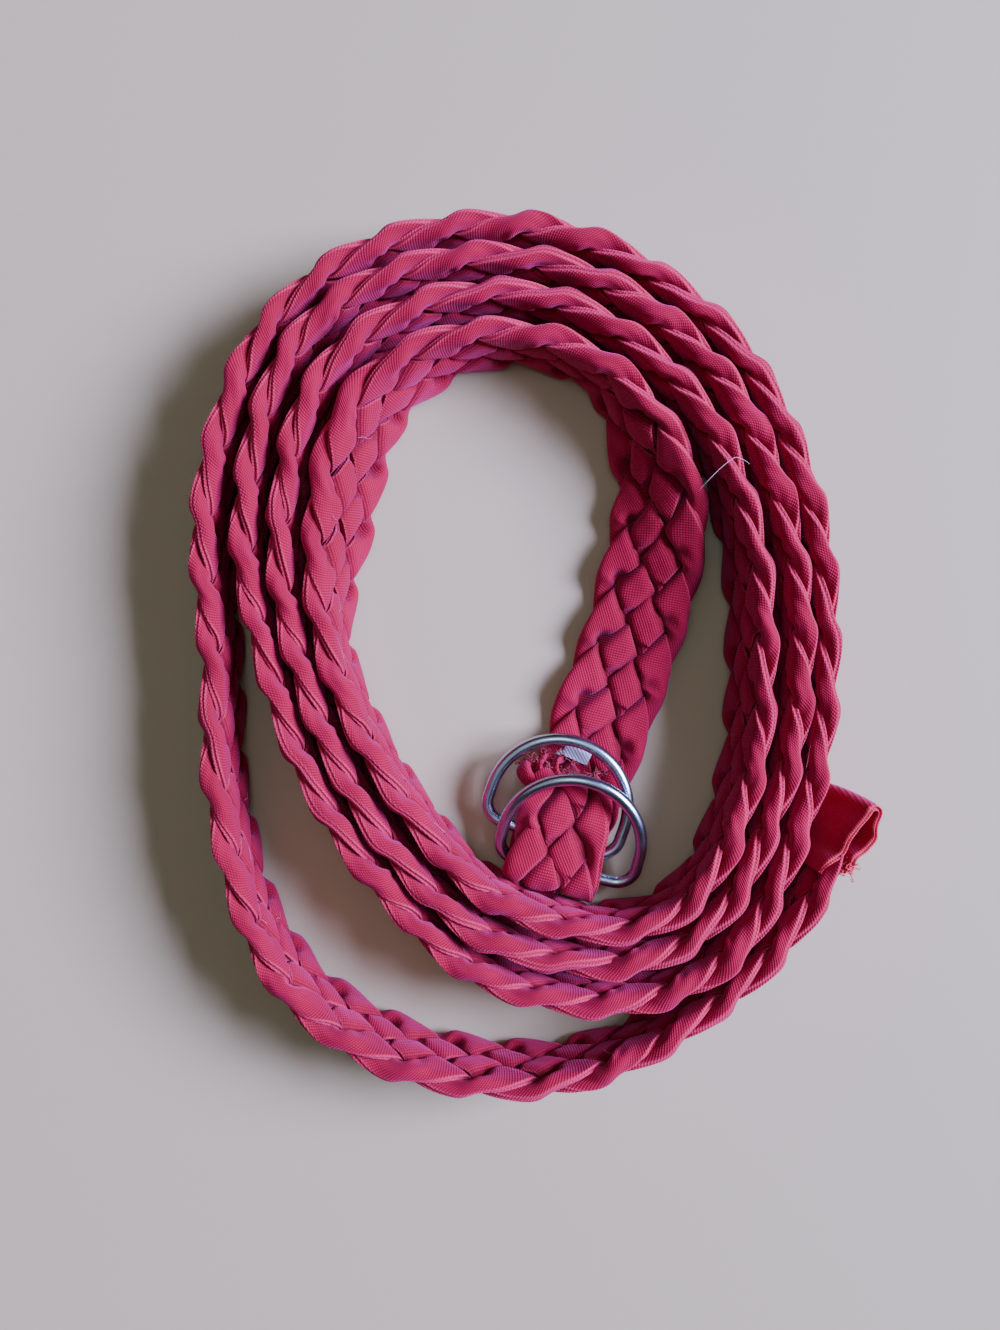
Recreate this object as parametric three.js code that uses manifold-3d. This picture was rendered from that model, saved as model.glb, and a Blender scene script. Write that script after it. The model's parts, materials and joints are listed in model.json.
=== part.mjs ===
// Braided cloth belt with two D-rings, coiled on its edge around its own ring end.
// Millimetres, +Z up, the floor at z = 0. The coil is laid out seen from above, with +Y away
// from the viewer, and the whole part is moved at the end so that its box stands on the origin.
import * as THREE from 'three';
import { mergeVertices } from 'three/addons/utils/BufferGeometryUtils.js';
import Module from 'manifold-3d';

const wasm = await Module();
wasm.setup();

// The braid
const BAND_WIDTH = 20.5;
const BAND_THICK = 5.0;
const PRESSED_THICK = 4.4; // where the turns press on each other
const PITCH = 13; // from one bump of an edge to the next
const STRANDS = 5;
const SINK = 0.25; // how far the soft foot is pressed flat
const LOW_FACE = 0.8; // half thickness between the crossings, as a share of that on them
const EDGE_ROUND = 0.45; // half thickness at the edge, as a share of that on a crossing
const NOTCH = 1.1; // depth of the hollow between two bumps of an edge
const LYING = 0.3; // rise of the across direction below which the back face lies flat

// The coil: distance of each turn's upper edge from the middle of the coil
const COIL_MIDDLE = { x: 3, y: 2 };
const OUTER_END_RADIUS = 80;
const ROW_STEP = 30;
const COIL = [
  { bearing: 330, first: 73.0, second: 62.5, third: 57.0, fourth: 51.0 },
  { bearing: 300, first: 76.5, second: 70.5, third: 63.5, fourth: 57.5 },
  { bearing: 270, first: 82.0, second: 63.5, third: 56.0, fourth: 48.5 },
  { bearing: 240, first: 78.5, second: 50.5, third: 44.5, fourth: 37.0 },
  { bearing: 210, first: 64.0, second: 45.5, third: 39.5, fourth: 33.0 },
  { bearing: 180, first: 57.5, second: 47.5, third: 41.5, fourth: 35.5 },
  { bearing: 150, first: 67.0, second: 59.0, third: 51.5, fourth: 45.0 },
  { bearing: 120, first: 80.0, second: 74.0, third: 66.0, fourth: 59.5 },
  { bearing: 90, first: 81.0, second: 75.0, third: 68.5, fourth: 61.0 },
  { bearing: 60, first: 73.5, second: 67.5, third: 60.5, fourth: 54.0 },
  { bearing: 30, first: 63.3, second: 58.0, third: 51.3, fourth: 47.0 },
  { bearing: 0, first: 58.9, second: 54.1, third: 47.6, fourth: 44.0 },
];
// Bearings are counted on past zero, so that the first turn runs from -30 to -360
const BRAID_START = -33;
const COIL_END = -1368;
const COIL_STEP = 3;
const BASE_LEAN = 4; // degrees that the upper edge leans outward
const LEANS = [
  { at: -18, reach: 30, lean: 20 },
  { at: -105, reach: 42, lean: 9 },
  { at: -1080, reach: 60, lean: 8 },
  { at: -1305, reach: 50, lean: 28 },
];
const PRESSED_BEARING = 0;
const PRESSED_REACH = 60;

// The inner end: middle of the band, from the coil to where it lies flat
const TAIL = [
  { x: 25.0, y: 49.0, lean: 20, thick: 5.0, width: 20.5 },
  { x: 29.2, y: 40.5, lean: 38, thick: 5.0, width: 20.5 },
  { x: 31.2, y: 32.5, lean: 50, thick: 5.0, width: 20.5 },
  { x: 30.8, y: 25.0, lean: 64, thick: 5.0, width: 20.5 },
  { x: 29.2, y: 17.0, lean: 76, thick: 5.0, width: 20.5 },
  { x: 27.0, y: 8.5, lean: 84, thick: 5.0, width: 20.5 },
  { x: 24.0, y: -1.0, lean: 90, thick: 5.0, width: 20.5 },
  { x: 20.6, y: -10.5, lean: 90, thick: 5.0, width: 20.5 },
  { x: 17.0, y: -20.5, lean: 90, thick: 4.6, width: 20.0 },
  { x: 13.6, y: -31.0, lean: 90, thick: 3.5, width: 19.0 },
];
// The fold goes around the bar of d_ring_over, and the end comes back on top
const FOLD = { x: 10.4, y: -40.02, height: 5.0, radius: 3.3, thick: 3.4, width: 19.6 };
const FOLD_TURN = -13; // degrees from +X to the bar that it goes around
const FOLD_STEPS = 6;
const FOLD_MARGIN = 2; // free of other sections, before and after those of the fold
const FLAP = [
  { x: 11.2, y: -36.0, z: 8.3, thick: 3.4, width: 18.8 },
  { x: 12.7, y: -30.0, z: 8.2, thick: 3.8, width: 18.9 },
  { x: 13.2, y: -25.5, z: 7.6, thick: 4.2, width: 18.2 },
  { x: 12.6, y: -20.3, z: 7.5, thick: 4.2, width: 15.0 },
];

// The D-rings: bent wire with a straight bar, two sides and a round end
const WIRE = 2.4;
const RING_HALF_WIDTH = 13.6;
const RING_REACH = 20.1; // bar to the top of the round end, between wire middles
const RING_CORNER = 4;
const RING_OVER = { x: 12.55, y: -40.4, z: 5.0, turn: -13, tilt: 23 };
const RING_UNDER = { x: 9.3, y: -33.8, z: 5.0, turn: -19, tilt: 11 };
const WIRE_SIDES = 10;
const RING_STEPS = 44;

// The cloth end: a strip folded back on itself beyond the braid
const TAB_START = -32.6;
const TAB_END = -23.8;
const TAB_WALL = 1.6;
const TAB_GAP = 1.2; // between its two walls
const TAB_WIDTH = 19.5;
const TAB_STEPS = 5; // spans along each wall

// The blank scrap of tape at the raw end
const STUB = { x: 15.1, y: -17.5, turn: -24, length: 5.4, width: 2.6, thick: 0.5, top: 5.3 };

const CLOTH = { color: 0xc93a5e, roughness: 0.95, metalness: 0 };
const TAB_CLOTH = { color: 0xb5233f, roughness: 0.95, metalness: 0 };
const STEEL = { color: 0xc8ccd2, roughness: 0.2, metalness: 1 };
const TAPE = { color: 0xf0ebf2, roughness: 0.9, metalness: 0 };

const ROOM = 400; // more than the whole belt's length, width and height
const UP = new THREE.Vector3(0, 0, 1);
const rad = THREE.MathUtils.degToRad;
const at = (x, y, z) => new THREE.Vector3(x, y, z);
const heading = (degrees) => at(Math.cos(rad(degrees)), Math.sin(rad(degrees)), 0);

// Smooth value between numbers in a row, k counted from the first of them
function smooth(values, k) {
  const i = Math.floor(k);
  const t = k - i;
  const pick = (n) => values[Math.min(Math.max(n, 0), values.length - 1)];
  const [a, b, c, d] = [pick(i - 1), pick(i), pick(i + 1), pick(i + 2)];
  const slope = (c - a) * t;
  const bend = (2 * a - 5 * b + 4 * c - d) * t * t;
  return 0.5 * (2 * b + slope + bend + (3 * b - a - 3 * c + d) * t ** 3);
}

// One at the middle of a stretch, falling smoothly to nothing at its reach
function swell(distance, reach) {
  return Math.abs(distance) < reach ? Math.cos((Math.PI / 2) * (distance / reach)) ** 2 : 0;
}

const TURNS = ['first', 'second', 'third', 'fourth'];
const RADII = [OUTER_END_RADIUS, ...TURNS.flatMap((turn) => COIL.map((row) => row[turn]))];

function coilRadius(bearing) {
  return smooth(RADII, -bearing / ROW_STEP);
}

function coilLean(bearing) {
  return LEANS.reduce((sum, b) => sum + b.lean * swell(bearing - b.at, b.reach), BASE_LEAN);
}

function coilThick(bearing) {
  const past = THREE.MathUtils.euclideanModulo(bearing - PRESSED_BEARING + 180, 360) - 180;
  return BAND_THICK - (BAND_THICK - PRESSED_THICK) * swell(past, PRESSED_REACH);
}

function coilEdge(bearing) {
  const edge = heading(bearing).multiplyScalar(coilRadius(bearing));
  return edge.add(at(COIL_MIDDLE.x, COIL_MIDDLE.y, 0));
}

// A place along a strip: its middle, the direction of its upper edge, its width and thickness
function leaningPlace(point, fromEdge, travel, lean, width, thick) {
  const outward = at(-travel.y, travel.x, 0).normalize();
  const across = outward.multiplyScalar(Math.sin(rad(lean))).addScaledVector(UP, Math.cos(rad(lean)));
  const middle = point.clone().addScaledVector(at(across.x, across.y, 0), -fromEdge);
  middle.z = (width * Math.cos(rad(lean)) + thick * Math.sin(rad(lean))) / 2;
  return { middle, across, width, thick };
}

function coilPlace(bearing, width, thick) {
  const travel = coilEdge(bearing - 0.5).sub(coilEdge(bearing + 0.5));
  return leaningPlace(coilEdge(bearing), width / 2, travel, coilLean(bearing), width, thick);
}

function coilPlaces() {
  const places = [];
  for (let bearing = BRAID_START; bearing >= COIL_END; bearing -= COIL_STEP) {
    places.push(coilPlace(bearing, BAND_WIDTH, coilThick(bearing)));
  }
  return places;
}

// Places through the rows of a table, the row before the first being where the band comes from
function tailPlaces(before) {
  const rows = [...before, ...TAIL];
  const read = (name, k) => smooth(rows.map((row) => row[name]), k);
  const places = [];
  for (let k = before.length - 1 + 0.25; k < rows.length - 1; k += 0.25) {
    const point = at(read('x', k), read('y', k), 0);
    const travel = at(read('x', k + 0.1), read('y', k + 0.1), 0).sub(point);
    places.push(leaningPlace(point, 0, travel, read('lean', k), read('width', k), read('thick', k)));
  }
  return places;
}

function foldPlaces() {
  const across = heading(FOLD_TURN);
  const onward = heading(FOLD_TURN - 90);
  const places = [];
  for (let i = 0; i <= FOLD_STEPS; i += 1) {
    const turned = (Math.PI * i) / FOLD_STEPS;
    const middle = at(FOLD.x, FOLD.y, FOLD.height - FOLD.radius * Math.cos(turned));
    middle.addScaledVector(onward, FOLD.radius * Math.sin(turned));
    places.push({ middle, across: across.clone(), width: FOLD.width, thick: FOLD.thick, fold: true });
  }
  return places;
}

function flapPlaces() {
  const top = { x: FOLD.x, y: FOLD.y, z: FOLD.height + FOLD.radius, thick: FOLD.thick, width: FOLD.width };
  const rows = [top, ...FLAP];
  const read = (name, k) => smooth(rows.map((row) => row[name]), k);
  const places = [];
  for (let k = 0.25; k <= rows.length - 1; k += 0.25) {
    const middle = at(read('x', k), read('y', k), read('z', k));
    const across = heading(FOLD_TURN);
    places.push({ middle, across, width: read('width', k), thick: read('thick', k) });
  }
  return places;
}

function bandPlaces() {
  const coil = coilPlaces();
  const before = coil.slice(-2).map((place, i) => ({
    x: place.middle.x,
    y: place.middle.y,
    lean: coilLean(COIL_END + COIL_STEP * (1 - i)),
    thick: BAND_THICK,
    width: BAND_WIDTH,
  }));
  return [...coil, ...tailPlaces(before), ...foldPlaces(), ...flapPlaces()];
}

// Adds to each place how far along the strip it lies and which way its face looks
function measure(places) {
  let along = 0;
  places.forEach((place, i) => {
    const last = places[Math.max(i - 1, 0)].middle;
    const next = places[Math.min(i + 1, places.length - 1)].middle;
    along += place.middle.distanceTo(last);
    place.along = along;
    place.face = next.clone().sub(last).cross(place.across).normalize();
  });
  return places;
}

function placeAt(places, along) {
  const i = Math.max(1, places.findIndex((place) => place.along >= along));
  const [a, b] = [places[i - 1], places[i]];
  const t = THREE.MathUtils.clamp((along - a.along) / (b.along - a.along), 0, 1);
  return {
    along,
    middle: a.middle.clone().lerp(b.middle, t),
    across: a.across.clone().lerp(b.across, t).normalize(),
    face: a.face.clone().lerp(b.face, t).normalize(),
    width: THREE.MathUtils.lerp(a.width, b.width, t),
    thick: THREE.MathUtils.lerp(a.thick, b.thick, t),
  };
}

function signedVolume(geometry, index) {
  const corner = (k) => new THREE.Vector3().fromBufferAttribute(geometry.attributes.position, index[k]);
  let volume = 0;
  for (let k = 0; k < index.length; k += 3) {
    volume += corner(k).dot(corner(k + 1).cross(corner(k + 2))) / 6;
  }
  return volume;
}

// Closed skin through rings of points; the first and last ring are capped unless it is a loop
function skin(rings, loop) {
  const count = rings[0].length;
  const index = [];
  const spans = loop ? rings.length : rings.length - 1;
  for (let i = 0; i < spans; i += 1) {
    for (let j = 0; j < count; j += 1) {
      const a = i * count + j;
      const b = i * count + ((j + 1) % count);
      const c = ((i + 1) % rings.length) * count + j;
      const d = ((i + 1) % rings.length) * count + ((j + 1) % count);
      index.push(a, b, d, a, d, c);
    }
  }
  const end = (rings.length - 1) * count;
  for (let j = 0; j < (loop ? 0 : count / 2 - 1); j += 1) {
    const [a, b, c, d] = [j, j + 1, count - 2 - j, count - 1 - j];
    index.push(a, d, b, b, d, c);
    index.push(end + a, end + b, end + d, end + b, end + c, end + d);
  }
  const geometry = new THREE.BufferGeometry().setFromPoints(rings.flat());
  geometry.setIndex(signedVolume(geometry, index) < 0 ? index.reverse() : index);
  return geometry;
}

// Section of the braid: high on the crossings of strands and low between them
function braidRing(place, flatBack) {
  const half = place.thick / 2;
  const weave = (k) => 0.5 + 0.5 * Math.cos(Math.PI * ((2 * place.along) / PITCH + k));
  const point = (u, v) => place.middle.clone().addScaledVector(place.across, u).addScaledVector(place.face, v);
  const front = [];
  const back = [];
  for (let k = 0; k <= STRANDS; k += 1) {
    const atEdge = k === 0 || k === STRANDS;
    const side = (place.width / 2) * (1 - (2 * k) / STRANDS);
    const u = atEdge ? side - Math.sign(side) * NOTCH * (1 - weave(k)) : side;
    const high = atEdge ? EDGE_ROUND : LOW_FACE + (1 - LOW_FACE) * weave(k);
    front.push(point(u, half * high));
    back.push(point(u, -half * (flatBack && !atEdge ? 1 : high)));
  }
  return [...front, ...back.reverse()];
}

function toSolid(geometry) {
  const bare = geometry.clone();
  bare.deleteAttribute('normal');
  bare.deleteAttribute('uv');
  const merged = mergeVertices(bare, 1e-4);
  return new wasm.Manifold(new wasm.Mesh({
    numProp: 3,
    vertProperties: merged.attributes.position.array,
    triVerts: Uint32Array.from(merged.index.array),
  }));
}

function toGeometry(solid) {
  const mesh = solid.getMesh();
  const geometry = new THREE.BufferGeometry();
  geometry.setAttribute('position', new THREE.BufferAttribute(mesh.vertProperties, 3));
  geometry.setIndex(new THREE.BufferAttribute(mesh.triVerts, 1));
  return geometry;
}

function cutAtFloor(geometry) {
  const above = new THREE.BoxGeometry(ROOM, ROOM, ROOM).translate(0, 0, ROOM / 2);
  return toGeometry(toSolid(geometry).intersect(toSolid(above)));
}

function piece(name, geometry, look) {
  const mesh = new THREE.Mesh(geometry, new THREE.MeshStandardMaterial(look));
  mesh.geometry.computeVertexNormals();
  mesh.name = name;
  return mesh;
}

function braidedBand() {
  const places = measure(bandPlaces());
  const length = places.at(-1).along;
  const steps = Math.round(length / (PITCH / 2));
  const marks = [];
  for (let i = 0; i <= steps; i += 1) {
    marks.push((length * i) / steps);
  }
  const folded = places.filter((place) => place.fold).map((place) => place.along);
  const [first, last] = [folded[0] - FOLD_MARGIN, folded.at(-1) + FOLD_MARGIN];
  const open = marks.filter((mark) => mark < first || mark > last);
  const rings = [...open, ...folded].sort((a, b) => a - b).map((mark) => {
    const place = placeAt(places, mark);
    if (mark < folded[0]) place.middle.z -= SINK;
    return braidRing(place, place.across.z < LYING);
  });
  return piece('braided_band', cutAtFloor(skin(rings, false)), CLOTH);
}

// Outline of a D-ring in its own plane, x along the bar and y away from it
function ringOutline(share) {
  const side = RING_REACH - RING_HALF_WIDTH;
  const bar = RING_HALF_WIDTH - RING_CORNER;
  const quarter = (Math.PI / 2) * RING_CORNER;
  const parts = [
    { length: bar, put: (t) => [t, 0] },
    {
      length: quarter,
      put: (t) => {
        const turn = t / RING_CORNER;
        return [bar + RING_CORNER * Math.sin(turn), RING_CORNER * (1 - Math.cos(turn))];
      },
    },
    { length: side - RING_CORNER, put: (t) => [RING_HALF_WIDTH, RING_CORNER + t] },
    {
      length: (Math.PI / 2) * RING_HALF_WIDTH,
      put: (t) => {
        const turn = t / RING_HALF_WIDTH;
        return [RING_HALF_WIDTH * Math.cos(turn), side + RING_HALF_WIDTH * Math.sin(turn)];
      },
    },
  ];
  const total = parts.reduce((sum, part) => sum + part.length, 0);
  const mirrored = share > 0.5;
  let left = 2 * total * (mirrored ? 1 - share : share);
  const part = parts.find((each, i) => {
    const here = left <= each.length || i === parts.length - 1;
    left -= here ? 0 : each.length;
    return here;
  });
  const [x, y] = part.put(left);
  return new THREE.Vector2(mirrored ? -x : x, y);
}

function dRing(name, seat) {
  const along = heading(seat.turn);
  const rise = heading(seat.turn + 90).multiplyScalar(Math.cos(rad(seat.tilt)));
  rise.addScaledVector(UP, Math.sin(rad(seat.tilt)));
  const normal = along.clone().cross(rise);
  const rings = [];
  for (let i = 0; i < RING_STEPS; i += 1) {
    const here = ringOutline(i / RING_STEPS);
    const ahead = ringOutline(((i + 0.5) / RING_STEPS) % 1);
    const behind = ringOutline((i - 0.5 + RING_STEPS) / RING_STEPS % 1);
    const outward = new THREE.Vector2(ahead.y - behind.y, behind.x - ahead.x).normalize();
    const ring = [];
    for (let j = 0; j < WIRE_SIDES; j += 1) {
      const turn = (2 * Math.PI * j) / WIRE_SIDES;
      const out = (WIRE / 2) * Math.cos(turn);
      const point = at(seat.x, seat.y, seat.z);
      point.addScaledVector(along, here.x + outward.x * out);
      point.addScaledVector(rise, here.y + outward.y * out);
      point.addScaledVector(normal, (WIRE / 2) * Math.sin(turn));
      ring.push(point);
    }
    rings.push(ring);
  }
  return piece(name, toGeometry(toSolid(skin(rings, true))), STEEL);
}

// The folded strip: out along the line of the belt, around its end and back on the outer side
function endTab() {
  const step = TAB_WALL + TAB_GAP;
  const walls = [];
  for (let i = 0; i <= TAB_STEPS; i += 1) {
    const bearing = TAB_START + ((TAB_END - TAB_START) * i) / TAB_STEPS;
    walls.push(coilPlace(bearing, TAB_WIDTH, TAB_WALL));
  }
  measure(walls);
  const last = walls.at(-1);
  const onward = last.middle.clone().sub(walls[0].middle).normalize();
  const inner = walls.map((place) => ({ place, out: -step / 2, ahead: 0 }));
  const bend = [45, 90, 135].map((turn) => ({
    place: last,
    out: (-step / 2) * Math.cos(rad(turn)),
    ahead: (step / 2) * Math.sin(rad(turn)),
  }));
  const outer = walls.slice(1).reverse().map((place) => ({ place, out: step / 2, ahead: 0 }));
  const spine = [...inner, ...bend, ...outer].map(({ place, out, ahead }) => {
    const middle = place.middle.clone().addScaledVector(place.face, out);
    return { ...place, middle: middle.addScaledVector(onward, ahead) };
  });
  measure(spine);
  const corners = [[0.5, -0.5], [0.5, 0.5], [-0.5, 0.5], [-0.5, -0.5]];
  const rings = spine.map((place) => corners.map(([u, v]) => {
    const point = place.middle.clone().addScaledVector(place.across, u * place.width);
    return point.addScaledVector(place.face, v * place.thick);
  }));
  return piece('end_tab', cutAtFloor(skin(rings, false)), TAB_CLOTH);
}

function labelStub() {
  const geometry = new THREE.BoxGeometry(STUB.length, STUB.width, STUB.thick);
  const mesh = piece('label_stub', geometry, TAPE);
  mesh.position.set(STUB.x, STUB.y, STUB.top - STUB.thick / 2);
  mesh.rotation.z = rad(STUB.turn);
  return mesh;
}

const belt = new THREE.Group();
belt.add(braidedBand());
belt.add(endTab());
belt.add(dRing('d_ring_over', RING_OVER));
belt.add(dRing('d_ring_under', RING_UNDER));
belt.add(labelStub());

const box = new THREE.Box3().setFromObject(belt);
const middle = box.getCenter(new THREE.Vector3());
belt.position.set(-middle.x, -middle.y, -box.min.z);

export default belt;
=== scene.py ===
"""Braided cloth belt with two D-rings, coiled on its edge, laid out as a Blender add-on.

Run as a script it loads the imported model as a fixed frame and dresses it. Five strips of cotton,
each folded double, take the place of the plain band, and the folded cloth end, the two rings,
the blank scrap of tape, the raw end and the loose threads are made as fine surfaces. Shapes are
worked out in millimetres in the belt's own layout and moved into the frame, in metres, at the end.
"""
import json
import math

import bpy
import numpy as np
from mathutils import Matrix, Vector


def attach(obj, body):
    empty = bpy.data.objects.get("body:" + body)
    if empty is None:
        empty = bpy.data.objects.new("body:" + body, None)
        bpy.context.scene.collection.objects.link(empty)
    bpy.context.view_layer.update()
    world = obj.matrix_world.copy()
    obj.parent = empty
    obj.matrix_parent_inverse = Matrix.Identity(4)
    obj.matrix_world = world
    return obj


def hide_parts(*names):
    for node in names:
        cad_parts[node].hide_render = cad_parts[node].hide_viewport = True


bl_info = {
    "name": "Braided Cloth Belt",
    "version": (1, 0, 0),
    "blender": (4, 5, 0),
    "location": "View3D > Sidebar > Belt",
    "description": "Builds a five-strand braided cloth belt with two D-rings over its model",
    "category": "Add Mesh",
}

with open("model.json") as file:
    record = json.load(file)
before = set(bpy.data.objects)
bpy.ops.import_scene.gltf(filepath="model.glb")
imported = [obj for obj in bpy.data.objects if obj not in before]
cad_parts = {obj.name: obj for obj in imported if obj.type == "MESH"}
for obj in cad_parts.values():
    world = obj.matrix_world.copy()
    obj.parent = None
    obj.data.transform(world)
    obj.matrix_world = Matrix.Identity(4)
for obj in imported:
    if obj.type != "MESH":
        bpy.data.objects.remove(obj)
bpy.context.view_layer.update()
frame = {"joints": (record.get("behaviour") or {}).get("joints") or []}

MM = 0.001

# The coil: the distance of its upper edge from the coil's middle, in millimetres, in the first,
# second, third and fourth turn, at each bearing in degrees
COIL_MIDDLE = (3, 2)
OUTER_END_RADIUS = 80
ROW_STEP = 30
COIL = {
    330: (73.0, 62.5, 57.0, 51.0),
    300: (76.5, 70.5, 63.5, 57.5),
    270: (82.0, 63.5, 56.0, 48.5),
    240: (78.5, 50.5, 44.5, 37.0),
    210: (64.0, 45.5, 39.5, 33.0),
    180: (57.5, 47.5, 41.5, 35.5),
    150: (67.0, 59.0, 51.5, 45.0),
    120: (80.0, 74.0, 66.0, 59.5),
    90: (81.0, 75.0, 68.5, 61.0),
    60: (73.5, 67.5, 60.5, 54.0),
    30: (63.3, 58.0, 51.3, 47.0),
    0: (58.9, 54.1, 47.6, 44.0),
}
TURNS = 4

# Bearings at which the braid starts and the coil ends, and how far the band leans off upright
BRAID_START = -33
COIL_END = -1368
BASE_LEAN = 4
LEANS = [
    {"at": -18, "reach": 30, "lean": 20},
    {"at": -105, "reach": 42, "lean": 9},
    {"at": -1080, "reach": 60, "lean": 8},
    {"at": -1305, "reach": 50, "lean": 28},
]

# The band's section, the side of the coil where its turns press on each other, and how it is
# gathered thin where the braid starts
BAND_WIDTH = 20.5
BAND_THICK = 5.0
PRESSED_THICK = 4.4
PRESSED_BEARING = 0
PRESSED_REACH = 60
GATHER_DEGREES = 7
GATHERED = 0.5

# The inner end: middle of the band, from the coil to where it lies flat, and its lean in degrees
FULL = {"thick": BAND_THICK, "width": BAND_WIDTH}
TAIL = [
    {"x": 25.0, "y": 49.0, "lean": 20, **FULL},
    {"x": 29.2, "y": 40.5, "lean": 38, **FULL},
    {"x": 31.2, "y": 32.5, "lean": 50, **FULL},
    {"x": 30.8, "y": 25.0, "lean": 64, **FULL},
    {"x": 29.2, "y": 17.0, "lean": 76, **FULL},
    {"x": 27.0, "y": 8.5, "lean": 84, **FULL},
    {"x": 24.0, "y": -1.0, "lean": 90, **FULL},
    {"x": 20.6, "y": -10.5, "lean": 90, **FULL},
    {"x": 17.0, "y": -20.5, "lean": 90, "thick": 4.6, "width": 20.0},
    {"x": 13.6, "y": -31.0, "lean": 90, "thick": 3.5, "width": 19.0},
]

# The fold round the rings' bars, and the flap that lies back on top
FOLD = {"x": 10.4, "y": -40.02, "height": 5.0, "radius": 3.3, "thick": 3.4, "width": 19.6}
FOLD_TURN = -13
FLAP = [
    {"x": 11.2, "y": -36.0, "z": 8.3, "thick": 3.4, "width": 18.8},
    {"x": 12.7, "y": -30.0, "z": 8.2, "thick": 3.8, "width": 18.9},
    {"x": 13.2, "y": -25.5, "z": 7.6, "thick": 4.2, "width": 18.2},
    {"x": 12.6, "y": -20.3, "z": 7.5, "thick": 4.2, "width": 15.0},
]

# Spacing of a path's rows in millimetres, how far they are blurred, in rows, and the least height
# of cloth over the floor
PATH_STEP = 0.5
PATH_BLUR = 1.6
FLOOR_GAP = 0.02

# The braid: five strands, a bump of the edge every pitch. A strand turns back within a share of
# its period, and its zigzag's corners are rounded over a few millimetres
STRANDS = 5
PITCH = 13
PERIOD = STRANDS * PITCH
EDGE_REACH = 0.13
EDGE_CORNER = 2.0
STRAND_STEP = 0.6

# A folded strip's section: how square it is, and its upper lip from the edge into the slit
SECTION_POWER = 2.6
LIP = [(-1.0, 0.44), (-0.988, 0.25), (-0.965, 0.13), (-0.94, 0.05)]

# How a strand lies: rolls in degrees, lengths in millimetres, the rest in shares of its size.
# What varies at random does so by seeded values that stand "every" so many millimetres along it
STRAYS = {"by": 0.5, "every": 0.4 * PERIOD}
ROLL = {"top": 50, "varies": 38, "every": 1.1 * PERIOD, "foot": 20}
DRAWN = {"upright": 0.25, "varies": 0.25, "every": 21.0}
WIDTH = {"varies": 0.05, "every": 11.0}
FLATTENED = 2.8
BETWEEN_REACH = 0.28
TOP_HELD_IN = 0.25
SQUEEZED = 0.5
THICKENED = 0.45
ROUNDED_OFF = 0.6
LIPS = {"slid": 0.07, "varies": 0.16, "every": 17.0}
PARTING = {"wide": 0.015, "gathered": 0.02, "varies": 0.03, "every": 9.0}
RIPPLE = {"high": 0.09, "every": 3.1, "turn": 1.3}
PLEAT = {"high": 0.13, "wide": 2.3, "sways": 2.5, "every": 8.0}
POCKET = {"before": 0.042, "reach": 0.040, "from": 0.05, "over": 0.6, "upright": 0.65}
HELD_HIGH = (0.90, 1.05)
HELD_THICK = (0.82, 1.12)
UPPER_TAPER = {"by": 0.24, "from": 0.30, "over": 0.50}
APEX = {"reach": 0.10, "proud": 0.18}
# Painted shade: how deep in the belt's section a point must lie to be painted darker, from and over
# shares of its size
PAINTED_SHADE_DEPTH = {"from": 0.92, "over": 0.5}
# Folded edges are painted paler, partly as rubbed wear and partly as a painted highlight: by a
# share where the belt lies flat, fully where it stands, less where gathered
EDGE_WEAR_AND_HIGHLIGHT = {"flat": 0.35, "gathered": 0.3}
RAW_END = {"reach": 5.0, "thinner": 0.45, "crumpled": 0.8, "every": 2.6}

# The D-rings
RING_HALF_WIDTH = 13.6
RING_REACH = 20.1
RING_CORNER = 4.0
RING_OVER = {"seat": (12.55, -40.4, 5.0), "turn": -13, "tilt": 23, "body": "ring_over",
             "node": "d_ring_over"}
RING_UNDER = {"seat": (9.3, -33.8, 5.0), "turn": -19, "tilt": 11, "body": "ring_under",
              "node": "d_ring_under"}

# The folded cloth end. Places on the coil are bearings in degrees, the rest is in millimetres
TAB = {"laps": -35.4, "start": -32.6, "end": -23.9, "raw": -35.0, "wall": 1.6, "gap": 1.2,
       "width": 19.5, "step": 0.35}
TAB_LAP = {"before": 1.5, "over": 3.5, "inner": 1.3, "outer": 1.0}
TAB_BELLY = {"at": -28.0, "reach": 5.0, "by": 1.3}
TAB_FOLDS = {"high": 0.36, "upper": 2.7, "lower": 5.5}
TAB_WRINKLES = {"high": 0.16, "every": 1.7, "across": 2.2, "along": 0.5}
TAB_START = {"reach": 3.0, "lower": 0.8, "thin": 0.35}
TAB_EDGE = {"high": 0.35, "every": 3.4, "lower": 0.2}
TAB_LIPS = {"wide": 0.06, "varies": 0.10, "every": 4.0}
TAB_SLANT = {"by": 1.8, "reach": 6.0}
TAB_TIP = {"reach": 5.0, "in": 1.3, "back": 1.5}

# The blank scrap of tape. Its surface is thinner than the solid, bowed and waved, with a raw end
STUB = {"x": 15.1, "y": -17.5, "turn": -24, "length": 5.4, "width": 2.6, "thick": 0.5, "top": 5.3,
        "limp": 0.7, "bow": 0.28, "ragged": 0.16, "wave": 0.1}

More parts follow.
